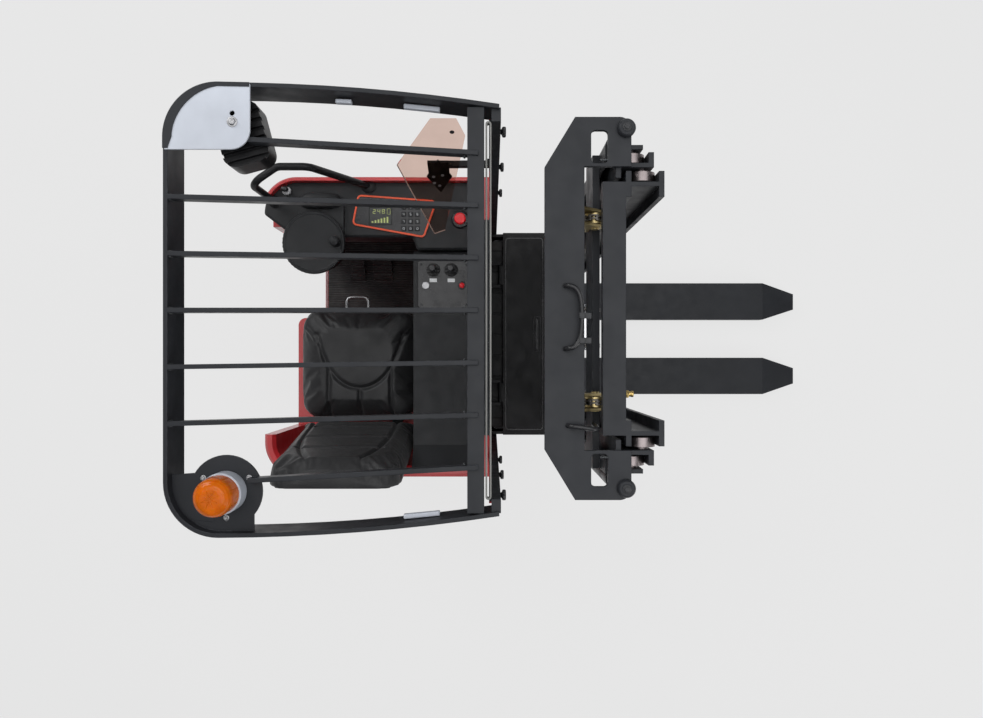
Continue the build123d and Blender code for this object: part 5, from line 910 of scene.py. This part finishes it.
# Battery bay: fixed cover strip behind the lid, the lid's raised border and grip, cell caps and links
shape = bmesh.new()
COVER_X = -0.3575
COVER_Z = (0.7, 0.706)
add_plate(shape, round_rect((COVER_X, 0.0), (0.047, 0.8), 0.004), *COVER_Z)
for rib in range(9):
    add_bar(shape, (COVER_X, -0.36 + rib * 0.09, COVER_Z[1] + 0.0008), (0.036, 0.006, 0.0016))
piece("bay_cover", shape, "black_paint", 0.0012)
LID_Z = 0.75
shape = bmesh.new()
add_frame(shape, (-0.243, 0.0), (0.164, 0.82), 0.016, 0.006, LID_Z, LID_Z + 0.0016)
GRIP = (-0.188, 0.0)
add_frame(shape, GRIP, (0.034, 0.15), 0.012, 0.004, LID_Z, LID_Z + 0.0018)
add_plate(shape, round_rect(GRIP, (0.012, 0.13), 0.005), LID_Z, LID_Z + 0.0016)
piece("lid_border", shape, "gloss_black", 0.0005, body="battery_lid")
battery_low, battery_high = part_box("battery")
CELL_CAP = ((0.021, 0.0), (0.021, 0.004), (0.018, 0.007), (0.011, 0.008), (0.009, 0.0065), (0.001, 0.0065))
CELL_PITCH = 0.13
rows_x = [battery_low[0] + 0.062 + row * 0.083 for row in range(2)]
shape = bmesh.new()
for row_x in rows_x:
    for column in range(6):
        add_turned(shape, CELL_CAP, (row_x, -0.325 + column * CELL_PITCH, battery_high[2]), UP, 28)
piece("cell_caps", shape, "blank_label", 0.0005)
shape = bmesh.new()
for row_x in rows_x:
    for column in range(5):
        link_at = (row_x + 0.03, -0.26 + column * CELL_PITCH, battery_high[2] + 0.0025)
        add_bar(shape, link_at, (0.016, 0.088, 0.005))
piece("cell_links", shape, "cast_drive", 0.001)

# Mast head: rod caps, stop bolts, welds
shape = bmesh.new()
LIFT_ROD = (-0.081, 0.402)
ROD_CAP = ((0.0205, 0.0), (0.0205, 0.0085), (0.0185, 0.0125), (0.0165, 0.0148), (0.0105, 0.0152), (0.0095, 0.0146))
for side in SIDES:
    add_turned(shape, ROD_CAP, (LIFT_ROD[0], side * LIFT_ROD[1], YOKE_Z), UP, 36)
piece("rod_caps", shape, "slate_paint", 0.0005, body="mast_middle")
shape = bmesh.new()
for side in SIDES:
    add_bolt(shape, (LIFT_ROD[0], side * LIFT_ROD[1], YOKE_Z + ROD_CAP[-1][1]), 0.0068)
piece("rod_bolts", shape, "cast_drive", 0.0003, body="mast_middle")
YOKE_WELD = ((0.0008, -0.003), (0.0028, -0.0015), (0.0032, 0.0), (0.0028, 0.0015), (0.0008, 0.003))
shape = bmesh.new()
for side in SIDES:
    for drop in range(11):
        add_turned(shape, YOKE_WELD, (-0.136 + drop * 0.0046, side * 0.333, YOKE_Z - 0.0035), (1, 0, 0), 10)
piece("yoke_welds", shape, "weld_bead", body="mast_middle")

# Pipes of the mast: a loop on the yoke in its clips, a drop into the right rail, a brass union on the inner bar
PIPE_R = 0.0055
PIPE_Z = YOKE_Z + 0.0178
PIPE_FOOT_Z = YOKE_Z + 0.004
LOOP_POINTS = (
    (-0.218, 0.0505, PIPE_FOOT_Z),
    (-0.212, 0.05, PIPE_Z),
    (-0.196, 0.046, PIPE_Z),
    (-0.184, 0.026, PIPE_Z),
    (-0.181, -0.02, PIPE_Z),
    (-0.184, -0.066, PIPE_Z),
    (-0.196, -0.086, PIPE_Z),
    (-0.212, -0.09, PIPE_Z),
    (-0.218, -0.0905, PIPE_FOOT_Z),
)
DROP_POINTS = (
    (-0.212, -0.262, PIPE_FOOT_Z),
    (-0.206, -0.262, PIPE_Z),
    (-0.182, -0.264, PIPE_Z),
    (-0.15, -0.27, PIPE_Z - 0.002),
    (-0.142, -0.268, PIPE_Z - 0.03),
    (-0.142, -0.266, 2.16),
)
shape = bmesh.new()
for points in (LOOP_POINTS, DROP_POINTS):
    add_rod(shape, points, PIPE_R, 12)
piece("mast_pipes", shape, "gloss_black", body="mast_middle")
shape = bmesh.new()
CLIP_WIDTH = 0.013
for y in (-0.017, -0.072):
    add_bar(shape, (-0.1735, y, YOKE_Z + 0.0132), (0.026, CLIP_WIDTH, 0.0026))
    add_bar(shape, (-0.1815, y, PIPE_Z + 0.0053), (0.011, CLIP_WIDTH, 0.0018))
    add_bar(shape, (-0.1875, y, PIPE_Z - 0.0005), (0.0016, CLIP_WIDTH, 0.0125))
piece("pipe_clips", shape, "cast_drive", 0.0006, body="mast_middle")
UNION_AT = Vector((-0.0815, -0.192, YOKE_Z - 0.016))
UNION_NUT = ((0.0085, 0.0), (0.0095, 0.001), (0.0095, 0.0075), (0.0085, 0.0085))
UNION_END = ((0.0058, 0.0), (0.0058, 0.005), (0.0068, 0.0055), (0.0068, 0.011), (0.0045, 0.0115), (0.004, 0.0085))
shape = bmesh.new()
add_turned(shape, UNION_NUT, UNION_AT, (1, 0, 0), 6)
add_turned(shape, UNION_END, UNION_AT + Vector((0.0083, 0, 0)), (1, 0, 0), 24)
piece("pipe_union", shape, "brass", 0.0003, body="mast_inner")

# Chains: each run is a piece of its own, as on the mast the runs lengthen or shorten when the stages rise
LINK_PITCH = 0.0159
LINK_DEPTH = 0.0098
LINK_PLATE = 0.0032
CHAIN_HALF = 0.007
WRAP_LINKS = 6
LINK_PIN = ((0.0028, -0.0076), (0.0033, -0.0068), (0.0033, 0.0068), (0.0028, 0.0076))
LINK_STAGGER = ((-0.0052, 0.0018), (-0.0018, 0.0052))


def add_link(shape, ends, foot_y, head_y):
    """One plate of a leaf chain, round-ended, from pin to pin."""
    along = (ends[1] - ends[0]).normalized()
    across = Vector((along.z, 0.0, -along.x))
    outline = []
    for end, sign in ((ends[1], 1), (ends[0], -1)):
        for step in range(5):
            angle = math.radians(45 * step - 90)
            outline.append(end + (along * math.cos(angle) + across * math.sin(angle)) * (sign * LINK_DEPTH / 2))
    loft(shape, [[shape.verts.new((p.x, y, p.z)) for p in outline] for y in (foot_y, head_y)])


def add_chain(shape, pins, y):
    """A leaf chain over its pins' places: plates in staggered pairs from pin to pin, and the pins with their heads."""
    places = [Vector((x, 0.0, z)) for x, z in pins]
    for number, ends in enumerate(zip(places, places[1:])):
        for offset in LINK_STAGGER[number % 2]:
            add_link(shape, ends, y + offset - LINK_PLATE / 2, y + offset + LINK_PLATE / 2)
    for place in places:
        add_turned(shape, LINK_PIN, (place.x, y, place.z), (0, 1, 0), 8)


def upright_pins(x, head, foot):
    """The pins' places down an upright run."""
    count = round((head - foot) / LINK_PITCH)
    return [(x, head - (head - foot) * number / count) for number in range(count + 1)]


def chain_pieces(name, node, rear_foot, sheave_body):
    """A pair of chains: the wrap on the sheaves, the front runs that shorten, the rear runs that lengthen."""
    low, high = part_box(node)
    reach = (high[0] - low[0]) / 2
    centre_x, centre_z = (low[0] + high[0]) / 2, high[2] - reach
    radius = reach - LINK_DEPTH / 2 - 0.0001
    arc = [math.pi * step / WRAP_LINKS for step in range(WRAP_LINKS + 1)]
    wrap = [(centre_x + radius * math.cos(angle), centre_z + radius * math.sin(angle)) for angle in arc]
    front = upright_pins(centre_x + radius, centre_z, low[2] + LINK_DEPTH / 2)
    rear = upright_pins(centre_x - radius, centre_z, rear_foot + LINK_DEPTH / 2)
    runs = []
    for pins in (wrap, front, rear):
        shape = bmesh.new()
        for side in SIDES:
            add_chain(shape, pins, side * (high[1] - CHAIN_HALF))
        runs.append(shape)
    wrap_piece = piece(name + "_wrap", runs[0], "chain_steel", body=sheave_body)
    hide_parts(node)
    front_piece = piece(name + "_front", runs[1], "chain_steel", body=sheave_body)
    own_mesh(front_piece)
    rear_piece = piece(name + "_rear", runs[2], "chain_steel", body=None)
    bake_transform(rear_piece)


chain_pieces("lift_chain", "lift_chains", 2.09, "mast_middle")
chain_pieces("free_chain", "free_chains", 0.7, "sheave_head")

# Cab sides: service hatch, vents, kick strips, step edge
HATCH_JOINTS = (
    # middle in X and Z, length along X, height
    (-0.74, 0.45, 0.56, 0.003),
    (-0.74, 1.2, 0.56, 0.003),
    (-1.02, 0.825, 0.003, 0.75),
    (-0.46, 0.825, 0.003, 0.75),
)
shape = bmesh.new()
for x, z, across, upward in HATCH_JOINTS:
    for side in SIDES:
        add_bar(shape, (x, side * (CAB_HALF + 0.0002), z), (across, 0.0012, upward))
piece("hatch_joints", shape, "dark_marks")
shape = bmesh.new()
for slat in range(8):
    add_bar(shape, (-0.74, -CAB_HALF - 0.0003, 0.56 + slat * 0.028), (0.24, 0.002, 0.009), (18, 0, 0))
KICK_Z = 0.125
for out, thickness, height, cut in ((0.0003, 0.002, 0.05, 0.0), (0.0009, 0.0018, 0.012, 0.02)):
    for side in SIDES:
        add_bar(shape, (-0.72, side * (CAB_HALF + out), KICK_Z), (0.62 - cut, thickness, height))
    add_bar(shape, (REAR_X - out, 0.0, KICK_Z), (thickness, 0.78 - cut, height))
piece("kick_strips", shape, "mat_rubber", 0.0005)
shape = bmesh.new()
FASTENER = ((0.012, -0.001), (0.012, 0.0004), (0.0105, 0.0012), (0.003, 0.0012), (0.001, 0.0008))
for side in SIDES:
    for x in (-0.99, -0.49):
        for z in (0.49, 1.16):
            add_turned(shape, FASTENER, (x, side * CAB_HALF, z), (0, side, 0), 24)
piece("hatch_fasteners", shape, "silver", 0.0002)
shape = bmesh.new()
STEP_Z = FLOOR_Z + 0.0002
for strip in range(3):
    add_bar(shape, (REAR_X + 0.0035 + strip * 0.0032, 0.215, STEP_Z + 0.0004), (0.0018, 0.26, 0.0012))
piece("step_edge", shape, "silver", 0.0003)

# Pedals' rubber ribs
shape = bmesh.new()
PEDAL_SLOPE = 28
for pedal_x, pedal_width in ((REAR_X + 0.16, 0.07), (REAR_X + 0.28, 0.09)):
    for rib in range(7):
        along = 0.018 + rib * 0.016
        rise = along * math.tan(math.radians(PEDAL_SLOPE))
        rib_at = (pedal_x, 0.26 + along, FLOOR_Z + 0.0068 + rise)
        add_bar(shape, rib_at, (pedal_width - 0.012, 0.006, 0.004), (PEDAL_SLOPE, 0, 0))
piece("pedal_ribs", shape, "gloss_black", 0.001)

# Camera straight above the cab's front, studio light and a pale floor
CAMERA_HEIGHT = 3.907
CAMERA_Y = -0.1195
LENS_MM = 27.14
LENS_SHIFT = 0.00295
camera_data = bpy.data.cameras.new("camera")
camera_data.lens = LENS_MM
camera_data.sensor_width = 36.0
camera_data.shift_y = LENS_SHIFT
camera = bpy.data.objects.new("camera", camera_data)
camera.location = (CAB_X, CAMERA_Y, CAMERA_HEIGHT)
bpy.context.scene.collection.objects.link(camera)
bpy.context.scene.camera = camera

LAMPS = (
    # name, place, side, power
    ("overhead", (0.2, 0.4, 6.2), 5.0, 165.0),
    ("left", (-3.6, 2.6, 4.2), 2.6, 95.0),
    ("right", (3.4, -2.6, 3.6), 2.6, 70.0),
)
for name, place, side, power in LAMPS:
    lamp_data = bpy.data.lights.new(name, "AREA")
    lamp_data.size = side
    lamp_data.energy = power
    lamp = bpy.data.objects.new(name, lamp_data)
    lamp.location = place
    lamp.rotation_euler = (-Vector(place)).to_track_quat("-Z", "Y").to_euler()
    bpy.context.scene.collection.objects.link(lamp)

world = bpy.data.worlds.new("studio")
world.use_nodes = True
world.node_tree.nodes["Background"].inputs["Color"].default_value = (0.9, 0.92, 0.95, 1.0)
world.node_tree.nodes["Background"].inputs["Strength"].default_value = 0.24
bpy.context.scene.world = world
bpy.context.scene.view_settings.view_transform = "Standard"


def floor_material():
    """A pale matt floor that the camera sees nearly evenly lit, also in metal and through glass."""
    material, tree, shader = new_material("studio_floor")
    cloud = spread(tree, noise(tree, 1.5), 0.0, 1.0)
    tree.links.new(mixed(tree, cloud, (0.78, 0.78, 0.78), (0.82, 0.82, 0.82)), shader.inputs["Base Color"])
    shader.inputs["Roughness"].default_value = 0.9
    glow = tree.nodes.new("ShaderNodeEmission")
    glow.inputs["Color"].default_value = (0.812, 0.812, 0.812, 1.0)
    path = tree.nodes.new("ShaderNodeLightPath")
    seen = path.outputs["Is Camera Ray"]
    for kind in ("Is Glossy Ray", "Is Transmission Ray"):
        either = tree.nodes.new("ShaderNodeMath")
        either.operation = "MAXIMUM"
        tree.links.new(seen, either.inputs[0])
        tree.links.new(path.outputs[kind], either.inputs[1])
        seen = either.outputs["Value"]
    share = spread(tree, seen, 0.0, 0.9, 0.0, 1.0)
    mix = tree.nodes.new("ShaderNodeMixShader")
    tree.links.new(share, mix.inputs["Fac"])
    tree.links.new(shader.outputs["BSDF"], mix.inputs[1])
    tree.links.new(glow.outputs["Emission"], mix.inputs[2])
    tree.links.new(mix.outputs["Shader"], tree.nodes["Material Output"].inputs["Surface"])
    return material


floor_mesh = bpy.data.meshes.new("floor")
FLOOR_HALF = 30.0
floor_corners = [(x * FLOOR_HALF, y * FLOOR_HALF, -0.001) for x, y in ((-1, -1), (1, -1), (1, 1), (-1, 1))]
floor_mesh.from_pydata(floor_corners, [], [(0, 1, 2, 3)])
floor_mesh.materials.append(floor_material())
floor = bpy.data.objects.new("floor", floor_mesh)
bpy.context.scene.collection.objects.link(floor)
